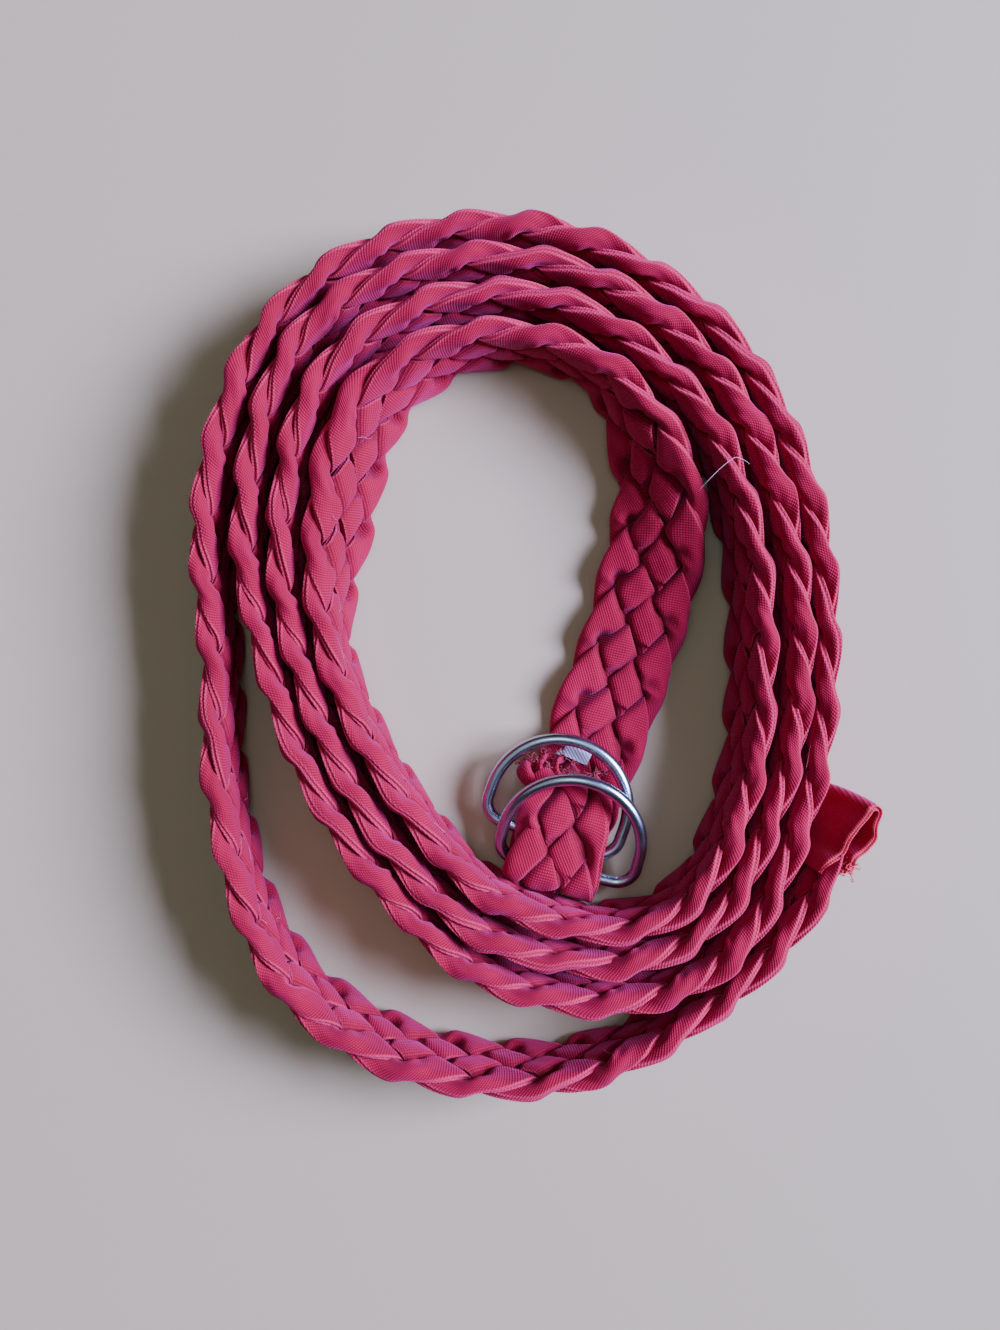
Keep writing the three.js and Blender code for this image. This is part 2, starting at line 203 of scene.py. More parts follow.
# Small folds at the raw end of the flap: place, direction across, width and thickness
RAW_FOLDS = [
    [
        ((9.0, -23.4, 6.8), (0.2, 0.7, 0.7), 3.0, 1.5),
        ((6.2, -22.6, 8.0), (0.1, 0.8, 0.6), 3.8, 2.0),
        ((4.6, -20.4, 7.7), (0.6, 0.7, 0.4), 3.4, 2.0),
        ((5.2, -18.9, 6.4), (0.9, 0.3, 0.2), 2.4, 1.2),
    ],
    [
        ((8.2, -22.0, 7.2), (0.6, 0.2, 0.7), 2.4, 1.1),
        ((7.6, -19.8, 8.0), (0.3, 0.1, 0.9), 2.0, 1.0),
        ((8.6, -18.2, 7.2), (-0.3, 0.3, 0.9), 1.8, 0.9),
        ((9.0, -17.5, 6.0), (-0.5, 0.4, 0.8), 1.4, 0.7),
    ],
    [
        ((11.4, -22.6, 7.4), (0.9, 0.3, 0.1), 2.6, 1.0),
        ((10.6, -20.4, 8.0), (0.6, 0.2, 0.7), 2.2, 0.9),
        ((11.2, -18.9, 7.1), (0.2, 0.5, 0.8), 1.8, 0.8),
        ((12.2, -18.6, 6.0), (-0.2, 0.7, 0.7), 1.4, 0.6),
    ],
]
CRUMPLE = {"high": 0.16, "every": 1.1}

# Frayed raw edges: threads on each edge, how far they stray off their way, their least and most
# length, how curly and how thick they are, and the seeds of their aims and of their curls
END_FRAY = {"count": 110, "stray": 0.9, "lengths": (0.8, 2.9), "curl": 0.32, "radius": 0.12,
            "seeds": (121, 123)}
TAPE_FRAY = {"count": 22, "stray": (0.4, 0.4, 0.2), "lengths": (0.4, 1.3), "curl": 0.3,
             "radius": 0.07, "seeds": (125, 127)}
RAW_FRAY = {"count": 12, "stray": 0.7, "lengths": (0.6, 2.0), "curl": 0.5, "radius": 0.11,
            "seeds": (150, 151)}
END_FRAY_WAY = (0.1, 0.7, 0.2)
END_FRAY_HEIGHTS = (0.12, 19.0)
RAW_FRAY_WAY = (-0.1, 0.9, -0.3)

# Directions that no thread runs along, by which its rings and its curl are squared to it
THREAD_ASKEW = (0.31, 0.17, 0.94)
CURL_ASKEW = (0.2, 0.3, 0.93)

# Short stray fibres on the belt
LINT = {"count": 26, "short_of_end": 60, "sideways": (-0.2, 0.42), "over": 1.03, "lift": 0.06,
        "lengths": (1.5, 6.0), "curl": 0.14, "radius": 0.035}

# One long stray thread, from the flat part's edge over to the next turn
LONG_FIBRE = [(37.4, 32.8, 18.0), (38.6, 34.2, 20.6), (40.9, 36.5, 21.6), (42.9, 38.1, 21.9),
              (44.0, 38.5, 21.8), (45.6, 38.0, 21.2), (46.6, 37.6, 19.5)]
LONG_FIBRE_RADIUS = 0.05

# The camera looks straight down on the middle of the photograph's frame, in millimetres
FRAME_MIDDLE = (0, 0)
CAMERA_HEIGHT = 300
FRAME_HIGH = 266
SENSOR = 36

# The floor and the lights, whose places and sizes are in metres of the frame
FLOOR_SIZE = 8.0
LIGHTS = {
    "window": {"place": (2.04, 0.33, 1.62), "size": 1.26, "colour": "#B4C0FF"},
    "ceiling": {"place": (-0.15, 0.10, 0.90), "size": 1.1, "colour": "#F2F4FA"},
    "overhead": {"place": (-0.06, 0.10, 0.92), "size": 0.26, "colour": "#C8EAFF"},
}
SURROUND_COLOUR = "#FFE0C0"

# The cloth's colour is paler along its folded edges, partly as rubbed wear and partly as a
# painted highlight, and deeper where it is sunk, as painted shade, by these shares
EDGE_WEAR_AND_HIGHLIGHT_SHARE = 0.45
PAINTED_SHADE_SHARE = 0.65
PAINTED_SHADE_TONE = "#80242E"

# Seeds of all that looks random. Each strand adds its number
SEEDS = {"roll": 11, "lips": 31, "parting": 51, "ripple": 71, "tab": 91, "ragged": 120,
         "end_spots": 122, "tape_spots": 126, "fold_spots": 130, "strand_spots": 140,
         "lint": 140, "stray": 160, "drawn": 165, "width": 180, "pleat": 190, "end": 200}


def layout_shift():
    """Where the layout's own zero lies in the frame: a ring's hinge there less its seat here."""
    hinge = next(j for j in frame["joints"] if j["name"] == "over_swing")
    return np.array(hinge["pos_m"]) / MM - np.array(RING_OVER["seat"])


SHIFT = layout_shift()


def linear(code):
    """Linear RGB of an sRGB hex colour such as '#D04679'."""
    parts = [int(code[i:i + 2], 16) / 255 for i in (1, 3, 5)]
    return tuple(c / 12.92 if c <= 0.04045 else ((c + 0.055) / 1.055) ** 2.4 for c in parts)


def heading(degrees):
    """Unit vector in the floor's plane, counted from +X towards +Y."""
    turn = math.radians(degrees)
    return np.array([math.cos(turn), math.sin(turn), 0.0])


def unit(vectors):
    """Vectors of length one, row by row."""
    return vectors / np.maximum(np.linalg.norm(vectors, axis=-1, keepdims=True), 1e-9)


def smooth(values, k):
    """Catmull-Rom curve through equally spaced values, at places k counted from the first."""
    values = np.asarray(values, float)
    i = np.floor(k).astype(int)
    t = k - i
    a, b, c, d = (values[np.clip(i + n, 0, len(values) - 1)] for n in (-1, 0, 1, 2))
    bend = (2 * a - 5 * b + 4 * c - d) * t**2
    return 0.5 * (2 * b + (c - a) * t + bend + (3 * b - a - 3 * c + d) * t**3)


def wander(distance, spacing, seed):
    """Smooth random value from -1 to 1: seeded values at equal spacing, joined by a curve."""
    count = int(np.max(distance) / spacing) + 4
    values = np.random.RandomState(seed).uniform(-1, 1, count)
    return smooth(values, distance / spacing + 1)


def distances(points):
    """Distance of each point from the first, along the line through them."""
    steps = np.linalg.norm(np.diff(points, axis=0), axis=1)
    return np.concatenate([[0], np.cumsum(steps)])


def read_off(places, along, rows):
    """Each column of the rows at other places along them, on straight lines between rows."""
    return np.stack([np.interp(places, along, column) for column in rows.T], axis=-1)


def smooth_rows(rows, k):
    """The smooth curve through rows of values, column by column."""
    return np.stack([smooth(column, k) for column in np.transpose(rows)], axis=-1)


def moved(rings, by, way):
    """Rings of points moved by a distance at each point, along the direction of each ring."""
    return rings + by[..., None] * way[:, None]


def swept(middle, across, face, u, h):
    """A profile carried along a path: its middle, plus u across it, plus h out of its face."""
    return moved(moved(middle[:, None], u, across), h, face)


def signed_power(wave, power):
    """A sine or cosine raised to a power, its sign kept: one side of a superellipse."""
    return np.sign(wave) * np.abs(wave) ** power


def ease(share):
    """Smooth step from 0 to 1: 3t squared less 2t cubed."""
    share = np.clip(share, 0, 1)
    return share * share * (3 - 2 * share)


def swell(distance, reach):
    """One in the middle, falling to nothing at the reach, as a squared cosine."""
    inside = np.clip(np.abs(distance) / reach, 0, 1)
    return np.cos(math.pi / 2 * inside) ** 2


# Path of the belt


def coil_radius(bearing):
    """Distance of the upper edge from the coil's middle, a curve through the table's turns."""
    rows = COIL.values()
    radii = [OUTER_END_RADIUS] + [row[turn] for turn in range(TURNS) for row in rows]
    return smooth(radii, -bearing / ROW_STEP)


def coil_edge(bearing):
    """Points of the upper edge: the coil's middle plus the radius along the bearing."""
    turn = np.radians(bearing)
    around = np.stack([np.cos(turn), np.sin(turn)], axis=-1)
    return around * coil_radius(bearing)[:, None] + COIL_MIDDLE


def coil_lean(bearing):
    """Lean off upright in degrees: a small one all round, and a swell at each place in LEANS."""
    return BASE_LEAN + sum(b["lean"] * swell(bearing - b["at"], b["reach"]) for b in LEANS)


def coil_thick(bearing):
    """Thickness of the band, less on the side where its turns press on each other."""
    past = (bearing - PRESSED_BEARING + 180) % 360 - 180
    return BAND_THICK - (BAND_THICK - PRESSED_THICK) * swell(past, PRESSED_REACH)


def leaning(points, from_edge, travel, lean, width, thick):
    """Rows of middle, across, width and thickness for a strip that stands on its lower edge.

    across turns from straight up to straight sideways, left of the travel, with the lean, and
    the middle is as high as half of the leaning section.
    """
    lean = np.radians(lean)
    left = unit(np.stack([-travel[:, 1], travel[:, 0]], axis=-1))
    across = np.column_stack([left * np.sin(lean)[:, None], np.cos(lean)])
    flat = points - across[:, :2] * np.asarray(from_edge)[..., None]
    height = (width * np.cos(lean) + thick * np.sin(lean)) / 2
    return np.column_stack([flat, height, across, width, thick])


def coil_rows(bearing, width, thick):
    """Rows of a strip that hangs below the coil's upper edge, at the bearings."""
    travel = coil_edge(bearing - 0.5) - coil_edge(bearing + 0.5)
    wide = np.full(len(bearing), float(width))
    edge, lean = coil_edge(bearing), coil_lean(bearing)
    return leaning(edge, wide / 2, travel, lean, wide, thick + 0 * wide)


def tail_rows(before):
    """Rows through the table of the inner end, led in by the last two places of the coil."""
    table = before + TAIL
    k = np.arange(1 + 1 / 16, len(table) - 1, 1 / 16)

    def read(name, places):
        return smooth([row[name] for row in table], places)

    points = np.stack([read("x", k), read("y", k)], axis=-1)
    ahead = np.stack([read("x", k + 0.1), read("y", k + 0.1)], axis=-1)
    none = np.zeros(len(k))
    sizes = read("lean", k), read("width", k), read("thick", k)
    return leaning(points, none, ahead - points, *sizes)


def fold_rows():
    """Half a circle round the ring's bar, from under it to over it."""
    turned = np.linspace(0, math.pi, 25)
    across = heading(FOLD_TURN)
    onward = heading(FOLD_TURN - 90)
    middle = np.array([FOLD["x"], FOLD["y"], FOLD["height"]])
    middle = middle + FOLD["radius"] * np.sin(turned)[:, None] * onward
    middle[:, 2] -= FOLD["radius"] * np.cos(turned)
    sizes = np.tile([*across, FOLD["width"], FOLD["thick"]], (len(turned), 1))
    return np.column_stack([middle, sizes])


def flap_rows():
    """Rows through the table of the flap, which lies back on top."""
    top = {**FOLD, "z": FOLD["height"] + FOLD["radius"]}
    table = [top] + FLAP
    k = np.arange(1 / 16, len(table) - 1 + 1e-6, 1 / 16)
    names = ("x", "y", "z", "width", "thick")
    rows = smooth_rows([[row[name] for name in names] for row in table], k)
    across = np.tile(heading(FOLD_TURN), (len(k), 1))
    return np.column_stack([rows[:, :3], across, rows[:, 3:]])


def even(rows, step):
    """The same rows at an equal distance apart along their middle line."""
    along = distances(rows[:, :3])
    places = np.linspace(0, along[-1], int(along[-1] / step) + 1)
    return places, read_off(places, along, rows)


def blurred(rows, spread):
    """Each column averaged with its neighbours by a bell curve of that spread, in rows."""
    reach = int(3 * spread)
    bell = np.exp(-0.5 * (np.arange(-reach, reach + 1) / spread) ** 2)
    padded = np.pad(rows, ((reach, reach), (0, 0)), mode="reflect", reflect_type="odd")
    return np.stack([np.convolve(c, bell / bell.sum(), mode="valid") for c in padded.T], axis=-1)


class Course:
    """A strip's path: its middle and the three directions along, across and out of its face."""

    def __init__(self, rows, step=PATH_STEP, spread=PATH_BLUR):
        self.along, rows = even(rows, step)
        self.rows = blurred(rows, spread)
        self.length = self.along[-1]

    def at(self, along):
        """middle, forward, across, face, width and thickness at distances along the strip."""
        rows = read_off(along, self.along, self.rows)
        middle, across, width, thick = rows[:, :3], unit(rows[:, 3:6]), rows[:, 6], rows[:, 7]
        slope = np.gradient(self.rows[:, :3], self.along, axis=0)
        forward = unit(read_off(along, self.along, slope))
        face = unit(np.cross(forward, across))
        return middle, np.cross(across, face), across, face, width, thick


def belt_course():
    """The whole belt from its outer end round the coil to the raw end of the flap."""
    bearing = np.arange(BRAID_START, COIL_END - 0.25, -0.5)
    gathered = GATHERED + (1 - GATHERED) * ease((BRAID_START - bearing) / GATHER_DEGREES)
    coil = coil_rows(bearing, BAND_WIDTH, coil_thick(bearing) * gathered)
    last = np.array([COIL_END + 3.0, float(COIL_END)])
    ends = coil_rows(last, BAND_WIDTH, coil_thick(last))
    leans = coil_lean(last)
    before = [{"x": row[0], "y": row[1], "lean": n, **FULL} for row, n in zip(ends, leans)]
    return Course(np.concatenate([coil, tail_rows(before), fold_rows(), flap_rows()]))


BELT = belt_course()


# Surfaces


def grid_faces(rows, columns, loop=False):
    """Quads of a tube, rows of points by columns round it, joined end to end for a loop."""
    spans = rows if loop else rows - 1
    i, j = np.meshgrid(np.arange(spans), np.arange(columns), indexing="ij")
    k = (j + 1) % columns
    n = (i + 1) % rows
    quads = [i * columns + j, i * columns + k, n * columns + k, n * columns + j]
    return np.stack(quads, axis=-1).reshape(-1, 4)


def cap_faces(rows, columns):
    """Quads folded across the first and the last ring of a tube."""
    j = np.arange(columns // 2 - 1)
    near = np.stack([j, j + 1, columns - 2 - j, columns - 1 - j], axis=-1)
    return near[:, ::-1], near + (rows - 1) * columns


def measures(rings, loop=False):
    """Distance along the rings' middles and round their mean outline, in millimetres."""
    middles = rings.mean(axis=1)
    if loop:
        middles = np.concatenate([middles, middles[:1]])
    closed = np.concatenate([rings, rings[:, :1]], axis=1)
    sides = np.linalg.norm(np.diff(closed, axis=1), axis=2).mean(axis=0)
    return distances(middles), np.concatenate([[0], np.cumsum(sides)])


def signed_volume(points, faces):
    """Volume inside quads, positive where they face outwards: triangles' triple products."""
    a, b, c, d = (points[faces[:, n]] for n in range(4))
    return np.einsum("ij,ij->", a, np.cross(b, c)) + np.einsum("ij,ij->", a, np.cross(c, d))


def make_piece(name, points, faces, uv, material, marks=None):
    """A smooth mesh from points in layout millimetres, quads, their texture corners and marks."""
    if signed_volume(points, faces) < 0:
        faces = faces[:, ::-1]
        uv = uv[:, ::-1]
    mesh = bpy.data.meshes.new(name)
    places = (points + SHIFT) * MM
    mesh.from_pydata(places.tolist(), [], faces.tolist())
    layer = mesh.uv_layers.new(name="weave")
    layer.data.foreach_set("uv", uv.astype(np.float32).ravel())
    for label, values in (marks or {}).items():
        mark = mesh.attributes.new(label, "FLOAT", "POINT")
        mark.data.foreach_set("value", np.asarray(values, np.float32).ravel())
    mesh.shade_smooth()
    mesh.materials.append(material)
    piece = bpy.data.objects.new(name, mesh)
    bpy.context.scene.collection.objects.link(piece)
    return piece


def tube(name, rings, material, marks=None, loop=False):
    """A piece through rings of points, rows by columns by 3, closed in a loop or by caps.

    Its texture map holds the distance along the tube and round it, in millimetres.
    """
    rows, columns = rings.shape[:2]
    along, around = measures(rings, loop)
    sides = grid_faces(rows, columns, loop)
    i, j = np.meshgrid(np.arange(len(along) - 1), np.arange(columns), indexing="ij")
    u = np.stack([along[i], along[i], along[i + 1], along[i + 1]], axis=-1)
    v = np.stack([around[j], around[j + 1], around[j + 1], around[j]], axis=-1)
    faces = [sides]
    uv = [np.stack([u, v], axis=-1).reshape(-1, 4, 2)]
    for cap in () if loop else cap_faces(rows, columns):
        faces.append(cap)
        uv.append(np.stack([around[cap % columns], 0 * cap], axis=-1))
    points = rings.reshape(-1, 3)
    return make_piece(name, points, np.concatenate(faces), np.concatenate(uv), material, marks)


def thread_piece(name, lines, radius, material):
    """Many thin round threads as one piece: lines is threads by places by 3.

    Each ring is a hexagon across its line, half as thick at the tip as at the root.
    """
    count, places = lines.shape[:2]
    tangent = unit(np.gradient(lines, axis=1))
    aside = unit(np.cross(tangent, THREAD_ASKEW))
    above = np.cross(tangent, aside)
    turn = np.arange(6) * math.pi / 3
    thin = radius * (1 - 0.5 * np.linspace(0, 1, places) ** 2)
    spokes = np.cos(turn)[:, None] * aside[:, :, None] + np.sin(turn)[:, None] * above[:, :, None]
    points = lines[:, :, None] + thin[:, None, None] * spokes
    near, far = cap_faces(places, 6)
    one = np.concatenate([grid_faces(places, 6), near, far])
    faces = (one[None] + np.arange(count)[:, None, None] * places * 6).reshape(-1, 4)
    uv = np.stack([faces // 6 * 0.4, faces % 6 * 0.1], axis=-1)
    return make_piece(name, points.reshape(-1, 3), faces, uv, material)


def curly_lines(starts, aims, lengths, curl, seed, places=12):
    """Lines that leave their start along their aim and sway off it more towards the tip.

    A line is start + aim * length * t + t * length * curl * (two sine waves across the aim).
    """
    random = np.random.RandomState(seed)
    share = np.linspace(0, 1, places)
    aims = unit(aims)
    aside = unit(np.cross(aims, CURL_ASKEW))
    above = np.cross(aims, aside)
    phase = random.uniform(0, 2 * math.pi, (len(starts), 2, 1))
    rate = random.uniform(2.5, 8, (len(starts), 2, 1))
    sway = (np.sin(rate * share + phase) - np.sin(phase)) * share * curl * lengths[:, None, None]
    lines = starts[:, None] + (aims * lengths[:, None])[:, None] * share[:, None]
    return lines + sway[:, 0, :, None] * aside[:, None] + sway[:, 1, :, None] * above[:, None]


def edge_spots(ring, count, seed):
    """Random places on a ring's outline, each between two of its points."""
    random = np.random.RandomState(seed)
    first = random.randint(0, len(ring), count)
    share = random.uniform(0, 1, (count, 1))
    return ring[first] * (1 - share) + ring[(first + 1) % len(ring)] * share


# The strands


def folded_section(count=13):
    """Outline of a strip folded double, in shares of its half width and half thickness.

    One long side is a rounded fold, a superellipse. The other is open: two rounded lips with a
    slit between them. Returned are the places across, the heights, and the ply of each point.
    """
    turn = np.linspace(0, math.radians(150), count)
    across = signed_power(np.cos(turn), 0.8)
    height = (1 - np.abs(across) ** SECTION_POWER) ** (1 / SECTION_POWER)
    across = np.concatenate([across, [place for place, _ in LIP]])
    height = np.concatenate([height, [high for _, high in LIP]])
    mirror = slice(-1, 0, -1)
    ply = np.concatenate([np.ones(len(across)), -np.ones(len(across) - 1)])
    across = np.concatenate([across, across[mirror]])
    height = np.concatenate([height, height[mirror]])
    return across, height * ply, ply


def strand_line(along, number, width):
    """Sideways place of a strand's middle, its phase, and whether it climbs or falls.

    It is a zigzag from edge to edge whose corners are rounded as a hyperbola. The phase runs
    from 0 at the foot over a half at the upper edge to 1 at the foot again.
    """
    phase = (along / PERIOD - number / STRANDS) % 1
    zigzag = 1 - np.abs(4 * phase - 2)
    from_edge = (1 - np.abs(zigzag)) * width / 2
    corner = EDGE_CORNER * width / BAND_WIDTH
    sideways = np.sign(zigzag) * (width / 2 - np.hypot(from_edge, corner))
    return sideways, phase, np.where(phase < 0.5, 1, -1)


def over_and_under(phase):
    """How far out of the belt's face a strand lies, from -1 to 1, and where it changes side.

    It crosses a neighbour at every tenth of the period, over one and under the next, as a
    flattened cosine: over the last one before each edge, round it and under the first after.
    """
    step = (phase % 0.5) / 0.1
    rise = np.where(step < 1, np.sin(math.pi / 2 * step), np.cos(math.pi * (step - 1)))
    rise = np.where(step > 4, -np.cos(math.pi / 2 * (step - 4)), rise)
    between = swell((step % 1) - 0.5, BETWEEN_REACH) * (step > 1) * (step < 4)
    return -np.tanh(FLATTENED * rise) / math.tanh(FLATTENED), between


def held(value, free, most, size):
    """Values pressed softly: free up to one share of a size, and never past another."""
    free, most = free * size, most * size
    beyond = np.maximum(np.abs(value) - free, 0)
    pressed = free + (most - free) * np.tanh(beyond / (most - free))
    return np.where(beyond > 0, np.sign(value) * pressed, value)


def frayed_out(along, rings, number):
    """The strand's raw end: squeezed thin and crumpled over its last few millimetres."""
    limp = ease(1 - (BELT.length - along) / RAW_END["reach"])[:, None, None]
    seed = SEEDS["end"] + 10 * number
    shift = np.stack([wander(along, RAW_END["every"], seed + n) for n in range(3)], axis=-1)
    middle = rings.mean(axis=1, keepdims=True)
    rings = middle + (rings - middle) * (1 - RAW_END["thinner"] * limp)
    return rings + RAW_END["crumpled"] * limp * shift[:, None, :] * np.array([1.0, 1.0, 0.5])


class Strand:
    """One strand's line through the braid, and how far it turns, gathers and stands there."""

    def __init__(self, number):
        self.number = number
        self.along = np.arange(0, BELT.length, STRAND_STEP)
        self.middle, _, self.across, self.face, self.width, self.thick = BELT.at(self.along)
        strayed = self.along + STRAYS["by"] * self.waver("stray", STRAYS["every"])
        sideways, self.phase, self.climbs = strand_line(strayed, number, self.width)
        self.line = self.middle + self.across * sideways[:, None]
        self.from_top = self.phase - 0.5
        self.from_foot = (self.phase + 0.5) % 1 - 0.5
        self.at_top = swell(self.from_top, EDGE_REACH)
        self.at_foot = swell(self.from_foot, EDGE_REACH)
        self.gather = self.at_top + self.at_foot
        self.upright = np.abs(self.across[:, 2])

    def waver(self, seed, every, ahead=0.0):
        """Smooth random value from -1 to 1 along the strand, from the strand's own seed."""
        return wander(self.along + ahead, every, SEEDS[seed] + self.number)

    def axes(self):
        """Directions across the strand and out of its face, both square to its own line.

        At the belt's edges they roll round that line, so that the open side looks up or away.
        The roll at the upper edge wanders from turn to turn.
        """
        tangent = unit(np.gradient(self.line, self.along, axis=0))
        slack = ROLL["top"] + ROLL["varies"] * self.waver("roll", ROLL["every"], 37 * self.number)
        roll = np.radians(slack) * self.at_top + np.radians(ROLL["foot"]) * self.at_foot
        out = self.across * np.sin(roll)[:, None] + self.face * np.cos(roll)[:, None]
        normal = unit(out - tangent * np.einsum("ij,ij->i", out, tangent)[:, None])
        return np.cross(tangent, normal), normal

    def half_width(self, braid):
        """Half the strip's width, less where it is gathered at an edge, and a little uneven."""
        varies = 1 + DRAWN["varies"] * self.waver("drawn", DRAWN["every"])
        drawn = self.gather * (1 + DRAWN["upright"] * self.upright) * varies
        wide = braid.strand_width / MM / 2 * self.width / BAND_WIDTH * (1 - braid.gather * drawn)
        return wide * (1 + WIDTH["varies"] * self.waver("width", WIDTH["every"]))

    def crossing(self, b):
        """over_and_under at places b across, whose phase is shifted as neighbours cross askew."""
        slope = np.arctan(self.width / (PERIOD / 2))
        askew = np.cos(slope) / np.tan(2 * slope) / PERIOD
        skew = self.climbs * (1 - np.minimum(self.gather, 1)) * askew
        return over_and_under(self.phase[:, None] - skew[:, None] * b)

    def lips(self, share, ply):
        """How far the two lips of the open side are slid past each other, and parted."""
        open_side = np.clip(-share, 0, 1)
        slid = LIPS["slid"] + LIPS["varies"] * self.waver("lips", LIPS["every"])
        parted = PARTING["wide"] + PARTING["gathered"] * self.gather
        parted = parted + PARTING["varies"] * self.waver("parting", PARTING["every"])
        return -ply * slid[:, None] * open_side**2, ply * parted[:, None] * open_side**3

    def creases(self, b):
        """Ripples, and pleats where gathered cloth stands upright: cosines across the strand.

        The ripples' height wanders along the strand, and the pleats sway from side to side.
        """
        rippled = RIPPLE["high"] * self.waver("ripple", RIPPLE["every"])
        swayed = PLEAT["sways"] * self.waver("pleat", PLEAT["every"])
        pleated = PLEAT["high"] * self.gather * self.upright
        pleats = np.cos(2 * math.pi * b / PLEAT["wide"] + swayed[:, None])
        return rippled[:, None] * np.cos(RIPPLE["turn"] * b) + pleated[:, None] * pleats

    def pockets(self, share):
        """The small pockets inside the turns, from 0 to 1, shallower where the belt stands."""
        tuck = 0
        for from_edge, inner in ((self.from_top, share), (self.from_foot, -share)):
            near = swell(from_edge + POCKET["before"], POCKET["reach"])
            tuck = tuck + near[:, None] * ease((inner - POCKET["from"]) / POCKET["over"])
        return tuck * (1 - POCKET["upright"] * self.at_top * self.upright)[:, None]

    def pressed(self, rings):
        """The rings held softly in the belt's own section, and a mark of how deep they lie in it.

        The section is a box that tapers towards its upper edge, but not at the strand's apex. The
        mark paints shade into the cloth's colour where the rings lie deep.
        """
        off = rings - self.middle[:, None]
        up = np.einsum("ijk,ik->ij", off, self.across)
        proud = np.einsum("ijk,ik->ij", off, self.face)
        half = (self.width / 2)[:, None]
        deep = (self.thick / 2)[:, None]
        apex = swell(self.from_top, APEX["reach"])[:, None]
        high = ease((up / half - UPPER_TAPER["from"]) / UPPER_TAPER["over"])
        level = deep * (1 - UPPER_TAPER["by"] * high * (1 - apex) + APEX["proud"] * apex)
        down = held(up, *HELD_HIGH, half) - up
        inwards = held(proud, *HELD_THICK, level) - proud
        rings = moved(moved(rings, down, self.across), inwards, self.face)
        reach = np.maximum(np.abs(up) / half, np.abs(proud) / deep)
        return rings, ease((PAINTED_SHADE_DEPTH["from"] - reach) / PAINTED_SHADE_DEPTH["over"])


# The folded edges are painted paler: partly rubbed wear, partly a painted highlight
def worn_and_highlit_edges(share, width=0.08):
    """Mark of the folded edges of a section, from 0 to 1, over an outer share of its width."""
    return np.clip((np.abs(share) - 1 + width) / width, 0, 1)


def strand_rings(number, braid):
    """Rings of points of one strand, with marks of its folded edges and its sunken parts: the
    edges are painted paler, as rubbed wear and a highlight, the sunken parts darker, as shade.

    The section stands square to the strand's own line and lies in the belt's face. At an edge
    the strand turns back in its own plane: there it is gathered narrower and thicker, rolls so
    that its open side looks up or away, and puckers into a small pocket on the inside of the
    turn. Where the belt stands on its edge, the gathered cloth lies in shallow pleats. Where a
    strand dives under a neighbour it is squeezed thinner.
    """
    strand = Strand(number)
    strip_thick = braid.strand_thickness / MM
    scale = strand.thick / BAND_THICK
    gather = strand.gather[:, None]
    share, height, ply = folded_section()
    b = share * strand.half_width(braid)[:, None]
    outside, between = strand.crossing(b)
    outward = (BAND_THICK - strip_thick) / 2 * scale * (1 - TOP_HELD_IN * strand.at_top)
    deep = strip_thick / 2 * scale[:, None] * (1 - SQUEEZED * between)
    rounded = 1 - (1 - (1 - np.minimum(share**2, 1)) ** 0.4) * ROUNDED_OFF * gather
    slid, parted = strand.lips(share, ply)
    b = b + slid
    h = height * deep * rounded * (1 + THICKENED * gather) + parted
    h = h + strand.creases(b) - braid.pucker / MM * strand.pockets(share)

    side, normal = strand.axes()
    rings = swept(strand.line, side, normal, b, h)
    rings = moved(rings, outside * outward[:, None], strand.face)
    # The mark of how deep the strand lies in the belt paints shade into the cloth's colour
    rings, sunk = strand.pressed(rings)
    rings = frayed_out(strand.along, rings, number)
    rings[..., 2] = np.maximum(rings[..., 2], FLOOR_GAP)
    # Folded edges painted paler, as rubbed wear and a painted highlight, more where the strand
    # stands upright
    wear_and_highlight = EDGE_WEAR_AND_HIGHLIGHT["flat"] + (1 - EDGE_WEAR_AND_HIGHLIGHT["flat"]) * strand.upright
    wear_and_highlight = wear_and_highlight * (1 - EDGE_WEAR_AND_HIGHLIGHT["gathered"] * np.minimum(strand.gather, 1))
    return rings, {"fold": worn_and_highlit_edges(share) * wear_and_highlight[:, None], "sunk": sunk}


# The cloth end, the rings, the tape and the threads


def tab_course():
    """The folded cloth end: over the gathered strands, on past them, round and back outside."""
    half = (TAB["wall"] + TAB["gap"]) / 2
    bearing = np.linspace(TAB["laps"], TAB["end"], 48)
    walls = coil_rows(bearing, TAB["width"], TAB["wall"])
    middle, across = walls[:, :3], unit(walls[:, 3:6])
    forward = unit(np.gradient(middle, axis=0))
    out = unit(np.cross(forward, across))
    lapped = ease((TAB["start"] + TAB_LAP["before"] - bearing) / TAB_LAP["over"])
    belly = TAB_BELLY["by"] * swell(bearing - TAB_BELLY["at"], TAB_BELLY["reach"])
    turn = np.radians(np.arange(20, 180, 20))[:, None]
    bend = middle[-1] - np.cos(turn) * half * out[-1] + np.sin(turn) * half * forward[-1]
    back = (bearing > TAB["raw"])[::-1]
    inner = middle - out * (half + TAB_LAP["inner"] * lapped)[:, None]
    outer = middle + out * (half + belly + TAB_LAP["outer"] * lapped)[:, None]
    places = np.concatenate([inner, bend, outer[::-1][back]])
    upright = np.concatenate([across, np.tile(across[-1], (len(bend), 1)), across[::-1][back]])
    sizes = np.tile([TAB["width"], TAB["wall"]], (len(places), 1))
    return Course(np.concatenate([places, upright, sizes], axis=1), step=TAB["step"])


